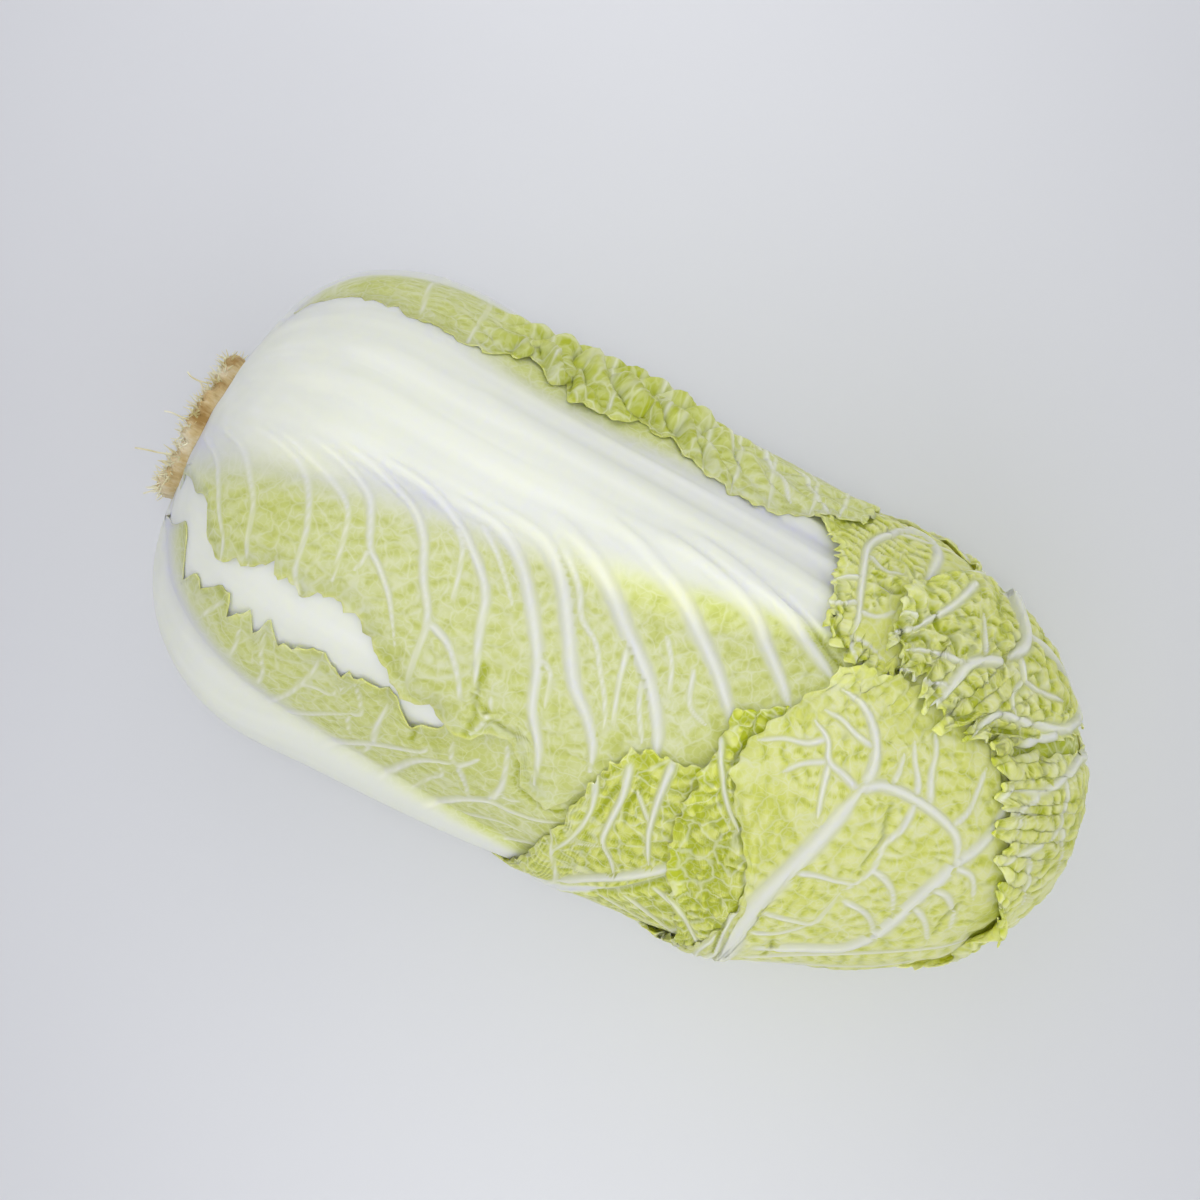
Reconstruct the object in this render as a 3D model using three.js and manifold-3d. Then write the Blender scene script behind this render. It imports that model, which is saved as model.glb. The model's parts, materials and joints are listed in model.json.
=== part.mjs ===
// Napa cabbage: a trimmed head lying on its side, built as a packed heart on a cut stem
// with ten wrapper leaves laid over it, one on another.
// Millimetres, +Z up, +X from the cut stem to the crown, origin on the table under the middle.
import * as THREE from "three";
import { mergeVertices } from "three/addons/utils/BufferGeometryUtils.js";
import Module from "manifold-3d";

const wasm = await Module();
wasm.setup();

// ---- Driving dimensions -------------------------------------------------------------------
// The middle of the whole head: from the stem end of the leaves, and across from its axis.
const MIDDLE = { x: 142, y: -1.3 };
const AXIS_HEIGHT = 66.2; // the head's axis above the table
const SPINE = { start: 58, end: 196 }; // the straight barrel lies between these
const HEART = { front: 61.4, back: 68, up: 62.5, down: 57, crown: 89, base: 50 };
const OUTSIDE = { side: 78, up: 73, down: 71, crown: 96, base: 58 };
const BLUNT = 2.6; // how square the stem end is: 2 would be a plain ellipse
const STEM = { back: -4.4, front: 7.3, backRadius: 24, frontRadius: 19.2 };
const CAPSULE = 70; // radius of the capsule on which places are kept
const GAP = 0.9; // air between one leaf and what it lies on
const BLADE = 1.3; // thickness of the green blade
const RAD = Math.PI / 180;

// ---- The head's form ----------------------------------------------------------------------
// A place on the head is a foot on the spine and a unit direction out from it. Along the
// barrel the direction is square to the spine, over the crown it tips towards +X and round
// the stem towards -X. Angles run from straight up (0) to the back, +Y (90), and the
// front, -Y (-90).

function reach(form, d) {
  const side = d.y > 0 ? form.back : form.front;
  const vertical = d.z > 0 ? form.up : form.down;
  const round = Math.hypot(d.y / side, d.z / vertical);
  if (d.x < 0) return (round ** BLUNT + (-d.x / form.base) ** BLUNT) ** (-1 / BLUNT);
  const lean = 1 - 0.16 * Math.max(0, -d.y) * d.x; // the crown is fuller at the back
  return lean / Math.hypot(d.x / form.crown, round);
}

// A place is kept as a point of a plain capsule round the spine. This gives the one at a
// distance along the head and an angle round it.
function place([x, degrees]) {
  const sin = Math.sin(degrees * RAD);
  const cos = Math.cos(degrees * RAD);
  const foot = Math.min(Math.max(x, SPINE.start), SPINE.end);
  let narrow = 1;
  if (x > SPINE.end) narrow = Math.sqrt(1 - Math.min((x - foot) / OUTSIDE.crown, 0.999) ** 2);
  if (x < SPINE.start) narrow = (1 - ((foot - x) / OUTSIDE.base) ** BLUNT) ** (1 / BLUNT);
  const vertical = cos > 0 ? OUTSIDE.up : OUTSIDE.down;
  const d = new THREE.Vector3(x - foot, OUTSIDE.side * narrow * sin, vertical * narrow * cos);
  return d.setLength(CAPSULE).add(new THREE.Vector3(foot, 0, 0));
}

// The foot and direction of a place.
function aim(point) {
  const foot = Math.min(Math.max(point.x, SPINE.start), SPINE.end);
  return { foot, d: new THREE.Vector3(point.x - foot, point.y, point.z).normalize() };
}

function pointAt({ foot, d }, radius) {
  return new THREE.Vector3(foot + d.x * radius, d.y * radius, d.z * radius);
}

// ---- Curves -------------------------------------------------------------------------------
function mix(a, b, share) {
  return a + (b - a) * share;
}

function smooth(low, high, value) {
  const share = Math.min(Math.max((value - low) / (high - low), 0), 1);
  return share * share * (3 - 2 * share);
}

// A uniform Catmull-Rom curve through a list of numbers, at t from 0 to 1.
function through(values, t) {
  const last = values.length - 1;
  const at = Math.min(Math.max(t, 0), 1) * last;
  const i = Math.min(Math.floor(at), last - 1);
  const f = at - i;
  const b = values[i];
  const c = values[i + 1];
  const a = i > 0 ? values[i - 1] : 2 * b - c;
  const e = i + 2 <= last ? values[i + 2] : 2 * c - b;
  return b + 0.5 * f * (c - a + f * (2 * a - 5 * b + 4 * c - e + f * (3 * (b - c) + e - a)));
}

function line(places) {
  const xs = places.map((p) => p.x);
  const ys = places.map((p) => p.y);
  const zs = places.map((p) => p.z);
  return (t) => {
    const { foot, d } = aim(new THREE.Vector3(through(xs, t), through(ys, t), through(zs, t)));
    return d.setLength(CAPSULE).setX(d.x + foot);
  };
}

// ---- The leaves, from the innermost to the outermost --------------------------------------
// Each leaf is given by its rib and its two edges, as [distance along the head, angle] from
// the stem to the tip. "low" is the edge on the side of smaller angles.
// rib: the rib's half-width as a share of the half-leaf, and thick: its thickness, stem to tip.
// Frills are how far an edge stands up in waves, stem to tip, and crinkle how bubbled the
// blade is.
const LEAVES = [
  {
    name: "leaf_inner_front",
    mid: [[1.5, -30], [42, -30], [84, -29], [126, -28], [168, -24], [205, -18], [238, -12]],
    low: [[1.5, -82], [42, -85], [84, -86], [126, -86], [168, -84], [205, -75], [235, -50]],
    high: [[1.5, 18], [42, 22], [84, 26], [126, 28], [168, 30], [205, 30], [235, 25]],
    rib: [0.7, 0.55, 0.45, 0.36, 0.26, 0.16, 0.06],
    thick: [2, 5.5, 5, 4, 3, 2, 1.5],
    lowFrill: [0, 0],
    highFrill: [0, 0],
    tipFrill: 0.6,
    crinkle: 0,
    rows: 14,
    seed: 1,
  },
  {
    name: "leaf_front",
    mid: [[1.5, -88], [40, -91], [80, -93], [120, -93], [160, -92], [200, -90], [232, -82]],
    low: [[1.5, -128], [40, -134], [80, -138], [120, -140], [160, -140], [200, -135], [232, -118]],
    high: [[1.5, -52], [28, -38], [62, -38], [96, -37], [130, -31], [168, -28], [215, -35]],
    rib: [0.8, 0.62, 0.45, 0.34, 0.28, 0.18, 0.06],
    thick: [2, 10.4, 10.4, 9, 5, 2, 1.3],
    lowFrill: [0, 0],
    highFrill: [0.5, 2.6, 1.8, 2.2, 1.5, 0, 0],
    tipFrill: 0.6,
    crinkle: 0.3,
    rows: 18,
    seed: 2,
  },
  {
    name: "leaf_upper",
    mid: [[1.5, 31], [36, 30], [70, 29], [105, 29], [140, 31], [174, 33], [204, 33]],
    low: [[1.5, -30], [28, -29], [58, -20], [92, -33], [141, -43], [172, -26], [208, 6]],
    high: [[1.5, 84], [36, 88], [70, 90], [105, 90], [140, 88], [174, 80], [204, 58]],
    rib: [0.68, 0.54, 0.42, 0.35, 0.32, 0.28, 0.14],
    thick: [2, 7, 6.5, 5.5, 4.5, 3.5, 2],
    lowFrill: [0, 2.2, 1.6, 2.4, 2.4, 1, 0],
    highFrill: [0, 0],
    tipFrill: 0.8,
    crinkle: 0.2,
    rows: 20,
    seed: 3,
  },
  {
    name: "leaf_shoulder",
    mid: [[1.5, 74], [50, 76], [100, 78], [150, 79], [184, 80], [205, 76], [211, 56]],
    low: [[1.5, 58], [50, 60], [100, 62], [150, 62], [176, 60], [186, 54], [196, 44]],
    high: [[1.5, 92], [50, 98], [100, 102], [150, 104], [190, 104], [221, 96], [228, 66]],
    rib: [0.8, 0.6, 0.5, 0.4, 0.34, 0.26, 0.16],
    thick: [2, 4, 3.5, 3, 3, 3, 2],
    lowFrill: [0, 0, 0, 0, 1.5, 2.5, 2],
    highFrill: [0, 0],
    tipFrill: 2,
    crinkle: 0.8,
    rows: 14,
    seed: 4,
  },
  {
    name: "leaf_back",
    mid: [[1.5, 116], [33, 113], [66, 111], [99, 109], [132, 107], [162, 104], [190, 96]],
    low: [[1.5, 58], [20, 60], [50, 57], [86, 57], [120, 60], [154, 56], [186, 60]],
    high: [[1.5, 152], [35, 156], [70, 158], [105, 158], [140, 156], [172, 148], [196, 130]],
    rib: [0.8, 0.6, 0.45, 0.36, 0.3, 0.22, 0.08],
    thick: [2, 6.5, 6, 5, 4, 3, 2],
    lowFrill: [0, 1.2, 2, 6.5, 6, 3, 2],
    highFrill: [0, 0],
    tipFrill: 2,
    crinkle: 0.4,
    rows: 20,
    seed: 5,
  },
  {
    name: "leaf_front_lap",
    mid: [[1.5, -120], [50, -117], [100, -110], [144, -94], [169, -67], [188, -45], [207, -22]],
    low: [[1.5, -145], [50, -146], [100, -142], [152, -132], [190, -110], [214, -82], [224, -44]],
    high: [[1.5, -96], [50, -95], [100, -92], [140, -82], [150, -48], [157, -21], [182, -8]],
    rib: [0.8, 0.62, 0.46, 0.3, 0.18, 0.12, 0.06],
    thick: [2, 4, 3.6, 3, 2.6, 2.2, 1.6],
    lowFrill: [0, 0],
    highFrill: [0, 0, 0, 1.5, 2.6, 2.4, 2],
    tipFrill: 1.6,
    crinkle: 0.6,
    rows: 18,
    seed: 6,
  },
  {
    name: "leaf_crown_lap",
    mid: [[1.5, -145], [60, -143], [120, -136], [174, -116], [206, -80], [206, -38], [198, 12]],
    low: [[1.5, -168], [60, -168], [120, -162], [184, -146], [226, -104], [230, -50], [226, 8]],
    high: [[1.5, -122], [60, -120], [120, -114], [172, -102], [196, -72], [180, -34], [172, -2]],
    rib: [0.8, 0.6, 0.45, 0.3, 0.2, 0.14, 0.08],
    thick: [2, 3.6, 3.2, 2.8, 2.4, 2.2, 1.6],
    lowFrill: [0, 0],
    highFrill: [0, 0, 0, 0, 2.5, 3.5, 2],
    tipFrill: 1,
    crinkle: 1,
    rows: 18,
    seed: 7,
  },
  {
    name: "leaf_crown_front",
    mid: [
      [1.5, -164], [60, -161], [120, -155], [168, -139], [198, -112], [211, -78], [215, -40],
      [219, -6], [226, 24],
    ],
    low: [
      [1.5, -188], [60, -188], [120, -186], [180, -178], [222, -148], [256, -104], [280, -60],
      [283, -16], [262, 22],
    ],
    high: [
      [1.5, -140], [60, -137], [120, -132], [162, -122], [190, -98], [203, -66], [205, -34],
      [186, -10], [192, 18],
    ],
    rib: [0.8, 0.62, 0.46, 0.34, 0.3, 0.22, 0.1],
    thick: [2, 4.6, 4, 3.6, 3, 3, 2],
    lowFrill: [0, 0, 0, 0, 1.5, 2.5, 2],
    highFrill: [0, 0, 0, 0, 0, 0, 2],
    tipFrill: 2.2,
    crinkle: 0.8,
    rows: 22,
    seed: 8,
  },
  {
    name: "leaf_crown_end",
    mid: [[1.5, 176], [60, 176], [120, 175], [180, 171], [243, 160], [287, 120], [268, 3]],
    low: [[1.5, 150], [60, 149], [120, 147], [180, 141], [238, 124], [277, 84], [252, 26]],
    high: [[1.5, 203], [60, 205], [120, 206], [180, 210], [238, 236], [276, 276], [283, 326]],
    rib: [0.85, 0.78, 0.7, 0.55, 0.3, 0.18, 0.08],
    thick: [2.4, 6.8, 6.8, 5.6, 3.6, 2.6, 1.8],
    lowFrill: [0, 0],
    highFrill: [0, 0, 0, 0, 2, 8, 9],
    tipFrill: 3,
    crinkle: 1,
    rows: 20,
    seed: 9,
  },
  {
    name: "leaf_crown_back",
    mid: [[1.5, 136], [60, 136], [120, 134], [178, 126], [224, 104], [243, 62], [230, 23]],
    low: [[1.5, 116], [60, 113], [120, 110], [176, 105], [214, 86], [203, 43], [186, 30]],
    high: [[1.5, 158], [60, 159], [120, 158], [184, 154], [246, 138], [273, 74], [256, 26]],
    rib: [0.8, 0.6, 0.45, 0.34, 0.3, 0.24, 0.12],
    thick: [2, 5, 4.6, 4.2, 4.2, 3.4, 2],
    lowFrill: [0, 0, 0, 0, 0, 3, 3.4],
    highFrill: [0, 0, 0, 0, 0, 2, 2],
    tipFrill: 3,
    crinkle: 1.3,
    rows: 20,
    seed: 10,
  },
];

// ---- One leaf as a lattice of rows (stem to tip) and columns (low edge to high edge) -------
const INNER_COLUMNS = [-0.9, -0.68, -0.46, -0.26, -0.1, 0.1, 0.26, 0.46, 0.68, 0.9];
const EDGE_SPLIT = 3; // the edge has this many points for each row of the blade
const PROBES = 6; // rays in each cell, each way, when a leaf is laid on the ones below
const EASING = 2; // times that a leaf's surface is eased over the steps below
const DEEPEST_SAG = 2; // a facet lies at most this far inside the curve that it stands for
const RAISES = 8; // times that its facets are checked against what is below
const VEIN = 0.9; // how far a side vein stands above the blade

function leafFrame(leaf) {
  const mid = line(leaf.mid.map(place));
  const low = line(leaf.low.map(place));
  const high = line(leaf.high.map(place));
  return (row, w) => {
    // Rows run forward from the rib to the edge, as the side veins do.
    const t = row + 0.68 * Math.abs(w) ** 0.7 * row * (1 - row);
    const rounding = 1 - 0.22 * smooth(0.8, 1, t) ** 2;
    const edge = w < 0 ? low(t) : high(t);
    return { t, ...aim(mid(t).lerp(edge, Math.abs(w) * rounding)) };
  };
}

// Rows are closer together at the stem, where the leaf turns most.
function rowAt(share) {
  return share * mix(0.45, 1, Math.sqrt(share));
}

// Waves along an edge, from 0 to 1, the same for a given leaf every time.
function wave(t, seed) {
  const a = Math.sin(t * 47 + seed * 2.1);
  const b = Math.sin(t * 83 + seed * 4.7);
  return 0.5 + 0.3 * a + 0.2 * b;
}

function frillAt(leaf, t, w) {
  const side = through(w < 0 ? leaf.lowFrill : leaf.highFrill, t);
  const atEdge = side * smooth(0.62, 1, Math.abs(w)) * wave(t, leaf.seed + (w < 0 ? 0.5 : 0));
  const atTip = leaf.tipFrill * smooth(0.88, 1, t) * wave(w * 0.45, leaf.seed + 3);
  const blade = smooth(0.8, 1.3, Math.abs(w) / through(leaf.rib, t));
  const bubbled = leaf.crinkle * blade * smooth(0.2, 0.5, t);
  return atEdge + atTip + bubbled * (0.5 + 0.5 * Math.sin(t * 61 + leaf.seed) * Math.cos(w * 13));
}

function thicknessAt(leaf, t, w) {
  const across = Math.abs(w) / through(leaf.rib, t);
  const crest = across < 1 ? (1 - across * across) ** 0.7 : 0;
  return BLADE + (through(leaf.thick, t) - BLADE) * crest;
}

// ---- Laying a leaf on what is under it ----------------------------------------------------
// The outsides of all that has been laid so far, as triangles of corner and two edges.
const laid = [];

function addLaid(points, faces) {
  for (const [a, b, c] of faces) {
    const corner = points[a];
    const ab = points[b].clone().sub(corner);
    const ac = points[c].clone().sub(corner);
    laid.push({ corner, ab, ac });
  }
}

const cross = new THREE.Vector3();
const toStart = new THREE.Vector3();
const other = new THREE.Vector3();

// The furthest distance from a foot, along its direction, at which anything laid is met.
function coveredTo({ foot, d }) {
  let furthest = 0;
  toStart.set(foot, 0, 0);
  const start = toStart.clone();
  for (const { corner, ab, ac } of laid) {
    cross.crossVectors(d, ac);
    const slant = ab.dot(cross);
    if (Math.abs(slant) < 1e-9) continue;
    toStart.subVectors(start, corner);
    const u = toStart.dot(cross) / slant;
    if (u < -1e-6 || u > 1 + 1e-6) continue;
    other.crossVectors(toStart, ab);
    const v = d.dot(other) / slant;
    if (v < -1e-6 || u + v > 1 + 1e-6) continue;
    furthest = Math.max(furthest, ac.dot(other) / slant);
  }
  return furthest;
}

// Heights of the leaf's inside at rows x columns, so that every facet clears what is below.
function settle(frame, rows, columns) {
  const aims = rows.map((r) => columns.map((w) => frame(r, w)));
  let height = aims.map((row) => row.map((at) => coveredTo(at) + GAP));
  for (let pass = 0; pass < EASING; pass++) {
    height = height.map((row, i) =>
      row.map((h, j) => {
        const around = [[i - 1, j], [i + 1, j], [i, j - 1], [i, j + 1]];
        const near = around.map(([a, b]) => (height[a] ? height[a][b] : undefined) ?? h);
        return Math.max(h, near.reduce((sum, n) => sum + n, 0) / 4);
      }),
    );
  }
  const probes = [];
  for (let i = 0; i < rows.length - 1; i++) {
    for (let j = 0; j < columns.length - 1; j++) {
      for (let k = 0; k < (PROBES + 1) ** 2; k++) {
        const u = Math.floor(k / (PROBES + 1)) / PROBES;
        const v = (k % (PROBES + 1)) / PROBES;
        const at = frame(mix(rows[i], rows[i + 1], u), mix(columns[j], columns[j + 1], v));
        const side = u >= v ? [i + 1, j] : [i, j + 1];
        const shares = u >= v ? [1 - u, u - v, v] : [1 - v, v - u, u];
        probes.push({ at, shares, corners: [[i, j], side, [i + 1, j + 1]], below: coveredTo(at) });
      }
    }
  }
  for (let pass = 0; pass < RAISES; pass++) {
    for (const { at, shares, corners, below } of probes) {
      const [a, b, c] = corners.map(([i, j]) => pointAt(aims[i][j], height[i][j]));
      const mean = corners.reduce((sum, [i, j], k) => sum + shares[k] * height[i][j], 0);
      const normal = b.sub(a).cross(c.sub(a));
      const facet = normal.dot(a.setX(a.x - at.foot)) / normal.dot(at.d);
      const sag = Math.min(Math.max(mean - facet, 0), DEEPEST_SAG) || 0;
      const short = below + GAP - (mean - sag);
      if (short <= 0) continue;
      const total = shares.reduce((sum, share) => sum + share * share, 0);
      corners.forEach(([i, j], k) => (height[i][j] += (short * shares[k]) / total));
    }
  }
  return height;
}

function leafGeometry(leaf) {
  const frame = leafFrame(leaf);
  const rows = Array.from({ length: leaf.rows + 1 }, (_, i) => rowAt(i / leaf.rows));
  const columns = [-1, ...INNER_COLUMNS, 1];
  const height = settle(frame, rows, columns);
  const heightAt = (share, j) => {
    const i = Math.min(Math.floor(share * leaf.rows), leaf.rows - 1);
    return mix(height[i][j], height[i + 1][j], share * leaf.rows - i);
  };
  const outside = [];
  const inside = [];
  const addPoint = (share, j, veined) => {
    const w = columns[j];
    const at = frame(rowAt(share), w);
    const lift = frillAt(leaf, at.t, w);
    const blade = smooth(0.9, 1.25, Math.abs(w) / through(leaf.rib, at.t));
    const vein = veined ? VEIN * blade * smooth(0, 0.2, share) * smooth(0, 0.12, 1 - share) : 0;
    const base = heightAt(share, j) + lift;
    inside.push(pointAt(at, base));
    outside.push(pointAt(at, base + thicknessAt(leaf, at.t, w) + vein));
    return outside.length - 1;
  };
  const edgeRows = leaf.rows * EDGE_SPLIT + 1;
  const lowEdge = [];
  const highEdge = [];
  for (let k = 0; k < edgeRows; k++) {
    lowEdge.push(addPoint(k / (edgeRows - 1), 0, false));
    highEdge.push(addPoint(k / (edgeRows - 1), columns.length - 1, false));
  }
  const grid = rows.map((_, i) =>
    INNER_COLUMNS.map((__, j) => addPoint(i / leaf.rows, j + 1, i % 2 === 1)),
  );

  const faces = [];
  for (let i = 0; i < leaf.rows; i++) {
    for (let j = 0; j < INNER_COLUMNS.length - 1; j++) {
      const [a, b, c, d] = [grid[i][j], grid[i + 1][j], grid[i + 1][j + 1], grid[i][j + 1]];
      faces.push([a, b, c], [a, c, d]);
    }
    const lastColumn = INNER_COLUMNS.length - 1;
    for (const [edge, column, flip] of [[lowEdge, 0, false], [highEdge, lastColumn, true]]) {
      const near = grid[i][column];
      const far = grid[i + 1][column];
      const middle = i * EDGE_SPLIT + Math.floor(EDGE_SPLIT / 2) + 1;
      const strip = [[near, far, edge[middle]]];
      for (let k = i * EDGE_SPLIT; k < (i + 1) * EDGE_SPLIT; k++) {
        strip.push([k < middle ? near : far, edge[k + 1], edge[k]]);
      }
      for (const [a, b, c] of strip) faces.push(flip ? [a, b, c] : [a, c, b]);
    }
  }
  addLaid(outside, faces);
  return closedSheet(outside, inside, faces);
}

// Closes two like sheets of points into one solid by a rim along their free edges.
function closedSheet(outside, inside, faces) {
  const count = outside.length;
  const index = [];
  const edges = new Map();
  for (const [a, b, c] of faces) {
    index.push(a, b, c, a + count, c + count, b + count);
    for (const [p, q] of [[a, b], [b, c], [c, a]]) {
      if (edges.has(`${q},${p}`)) edges.delete(`${q},${p}`);
      else edges.set(`${p},${q}`, [p, q]);
    }
  }
  for (const [p, q] of edges.values()) {
    index.push(q, p, q + count, p, p + count, q + count);
  }
  return solidGeometry([...outside, ...inside], index);
}

function solidGeometry(points, index) {
  const flat = points.flatMap((p) => [p.x - MIDDLE.x, p.y - MIDDLE.y, p.z + AXIS_HEIGHT]);
  const geometry = new THREE.BufferGeometry();
  geometry.setAttribute("position", new THREE.Float32BufferAttribute(flat, 3));
  geometry.setIndex(index);
  return geometry;
}

// ---- The heart: the packed inner leaves, lapping one over the next -------------------------
const HEART_RINGS = 26;
const HEART_SIDES = 30;
const HEART_LAPS = 5;

function heartPoint(share, side) {
  // share runs from the pole at the stem to the pole of the crown.
  const degrees = (side / HEART_SIDES) * 360;
  const sin = Math.sin(degrees * RAD);
  const cos = Math.cos(degrees * RAD);
  const back = Math.max(0, 1 - share / 0.26) * 90 * RAD;
  const front = Math.max(0, (share - 0.68) / 0.32) * 90 * RAD;
  const foot = mix(SPINE.start, SPINE.end, Math.min(Math.max((share - 0.26) / 0.42, 0), 1));
  const out = Math.cos(back + front);
  const d = new THREE.Vector3(Math.sin(front) - Math.sin(back), out * sin, out * cos);
  const turn = (degrees / 360) * HEART_LAPS + share * 1.4;
  const lap = turn - Math.floor(turn);
  const step = 2.2 * (1 - lap) * out * smooth(0.1, 0.3, share);
  const crinkle = 0.8 * Math.sin(share * 60 + lap * 6) * smooth(0.55, 0.8, share) * out;
  return pointAt({ foot, d }, reach(HEART, d) - 1.6 + step + crinkle);
}

function heartGeometry() {
  const points = [];
  for (let i = 1; i < HEART_RINGS; i++) {
    for (let j = 0; j < HEART_SIDES; j++) points.push(heartPoint(i / HEART_RINGS, j));
  }
  const stemPole = points.push(heartPoint(0, 0)) - 1;
  const crownPole = points.push(heartPoint(1, 0)) - 1;
  const faces = [];
  for (let j = 0; j < HEART_SIDES; j++) {
    const k = (j + 1) % HEART_SIDES;
    faces.push([stemPole, j, k]);
    for (let i = 0; i < HEART_RINGS - 2; i++) {
      const [a, b] = [i * HEART_SIDES + j, i * HEART_SIDES + k];
      faces.push([a, a + HEART_SIDES, b + HEART_SIDES], [a, b + HEART_SIDES, b]);
    }
    const last = (HEART_RINGS - 2) * HEART_SIDES;
    faces.push([last + j, crownPole, last + k]);
  }
  addLaid(points, faces);
  return solidGeometry(points, faces.flat());
}

// ---- The cut stem: a rough disc with the stubs of roots and fibres --------------------------
const STEM_SIDES = 28;
const STEM_STUBS = 9;

function toManifold(geometry) {
  const bare = geometry.clone();
  bare.deleteAttribute("normal");
  bare.deleteAttribute("uv");
  const merged = mergeVertices(bare, 1e-4);
  const vertProperties = merged.attributes.position.array;
  return new wasm.Manifold(
    new wasm.Mesh({ numProp: 3, vertProperties, triVerts: new Uint32Array(merged.index.array) }),
  );
}

function fromManifold(solid) {
  const mesh = solid.getMesh();
  const geometry = new THREE.BufferGeometry();
  geometry.setAttribute("position", new THREE.Float32BufferAttribute(mesh.vertProperties, 3));
  geometry.setIndex([...mesh.triVerts]);
  return geometry;
}

function stemGeometry() {
  const outline = [
    [0, STEM.back + 1.2],
    [STEM.backRadius * 0.55, STEM.back + 0.6],
    [STEM.backRadius * 0.86, STEM.back],
    [STEM.backRadius, STEM.back + 1.4],
    [STEM.backRadius - 2, STEM.back + 3.4],
    [STEM.frontRadius, STEM.front],
    [0, STEM.front],
  ];
  const profile = outline.map(([r, x]) => new THREE.Vector2(r, x));
  const disc = new THREE.LatheGeometry(profile, STEM_SIDES);
  let solid = toManifold(disc.rotateZ(-Math.PI / 2));
  for (let k = 0; k < STEM_STUBS; k++) {
    const angle = (k / STEM_STUBS) * 2 * Math.PI + 0.35 * Math.sin(k * 2.3);
    const out = STEM.backRadius * (0.5 + 0.36 * Math.abs(Math.sin(k * 1.7)));
    const length = 2.2 + 0.8 * Math.sin(k * 3.1);
    const stub = new THREE.ConeGeometry(1.9, length + 3, 7).rotateZ(Math.PI / 2);
    const tipX = STEM.back + 1.5 - length / 2;
    stub.translate(tipX, out * Math.sin(angle), out * Math.cos(angle));
    solid = solid.add(toManifold(stub));
  }
  return fromManifold(solid).translate(-MIDDLE.x, -MIDDLE.y, AXIS_HEIGHT);
}

// The thick rib underneath is a little flattened where the head's weight rests on it.
function restedOnTable(geometry) {
  geometry.computeBoundingBox();
  if (geometry.boundingBox.min.z > 0) return geometry;
  return fromManifold(toManifold(geometry).trimByPlane([0, 0, 1], 0));
}

// ---- The head -----------------------------------------------------------------------------
const head = new THREE.Group();

function addNode(name, geometry, colour, roughness) {
  const material = new THREE.MeshStandardMaterial({ color: colour, roughness, metalness: 0 });
  const mesh = new THREE.Mesh(geometry, material);
  mesh.name = name;
  head.add(mesh);
}

addNode("stem_butt", stemGeometry(), 0xd9c99a, 0.8);
addNode("heart", heartGeometry(), 0xe3e6c4, 0.55);
for (const leaf of LEAVES) {
  const green = leaf.name.includes("crown") ? 0xc8d184 : 0xd6dcb0;
  addNode(leaf.name, restedOnTable(leafGeometry(leaf)), green, 0.5);
}

export default head;
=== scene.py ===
# %% [markdown]
# # A napa cabbage on its side
# A whole head: a cut stem, a heart of packed leaves, and ten wrapper leaves laid over it,
# one on another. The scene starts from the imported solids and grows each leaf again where
# its solid lies, with the ribs, veins, waves and waxy skin that a real one has.

# %% Load the frame
import json
import math
import bpy
import numpy as np
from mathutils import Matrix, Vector
from mathutils.bvhtree import BVHTree


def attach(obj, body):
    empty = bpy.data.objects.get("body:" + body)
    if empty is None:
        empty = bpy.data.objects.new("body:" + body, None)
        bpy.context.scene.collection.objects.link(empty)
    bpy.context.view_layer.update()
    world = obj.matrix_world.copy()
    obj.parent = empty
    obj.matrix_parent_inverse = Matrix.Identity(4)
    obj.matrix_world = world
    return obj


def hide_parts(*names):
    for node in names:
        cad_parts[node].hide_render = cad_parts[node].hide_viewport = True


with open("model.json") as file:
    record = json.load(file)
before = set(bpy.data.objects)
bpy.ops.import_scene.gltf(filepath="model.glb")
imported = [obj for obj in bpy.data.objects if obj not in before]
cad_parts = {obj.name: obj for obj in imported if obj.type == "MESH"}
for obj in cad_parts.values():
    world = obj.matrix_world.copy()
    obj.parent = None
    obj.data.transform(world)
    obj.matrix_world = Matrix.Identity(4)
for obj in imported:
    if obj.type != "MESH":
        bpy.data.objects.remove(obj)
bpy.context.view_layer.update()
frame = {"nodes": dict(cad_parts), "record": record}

print("nodes:", ", ".join(sorted(frame["nodes"])))

# %% [markdown]
# ## Small helpers
# Colours are picked as sRGB hex, the way a paint program shows them, but the renderer adds
# light in linear values, so one function converts them. Another adds a node to any tree
# with its settings, values and links in one call, which keeps the trees short to read. The
# kinds of node used most have short names. Two more start a material on an empty tree and
# put an object into the scene.

# %% Colour and node helpers
MATH, RANGE, NOISE = "ShaderNodeMath", "ShaderNodeMapRange", "ShaderNodeTexNoise"
VECTOR, NAMED = "ShaderNodeVectorMath", "GeometryNodeInputNamedAttribute"


def colour(hex_code):
    channels = [int(hex_code[i:i + 2], 16) / 255 for i in (1, 3, 5)]
    linear = [c / 12.92 if c <= 0.04045 else ((c + 0.055) / 1.055) ** 2.4 for c in channels]
    return (*linear, 1.0)


def add(tree, kind, inputs=None, **settings):
    node = tree.nodes.new(kind)
    for name, value in settings.items():
        setattr(node, name, value)
    for name, value in (inputs or {}).items():
        if isinstance(value, bpy.types.Node):
            value = value.outputs[0]
        if isinstance(value, bpy.types.NodeSocket):
            tree.links.new(value, node.inputs[name])
        else:
            node.inputs[name].default_value = value
    return node


def new_skin(name):
    skin = bpy.data.materials.new(name)
    skin.use_nodes = True
    skin.node_tree.nodes.clear()
    return skin, skin.node_tree


def put(name, data):
    item = bpy.data.objects.new(name, data)
    bpy.context.collection.objects.link(item)
    return item


print("white becomes", colour("#ffffff"))

# %% [markdown]
# ## Geometry Nodes from a script
# A tree needs its own sockets before it can be used. On an object it runs as a modifier,
# whose inputs go by each socket's identifier and not by its name. The evaluated object then
# gives a plain mesh, and the modifier has done its work.

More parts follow.
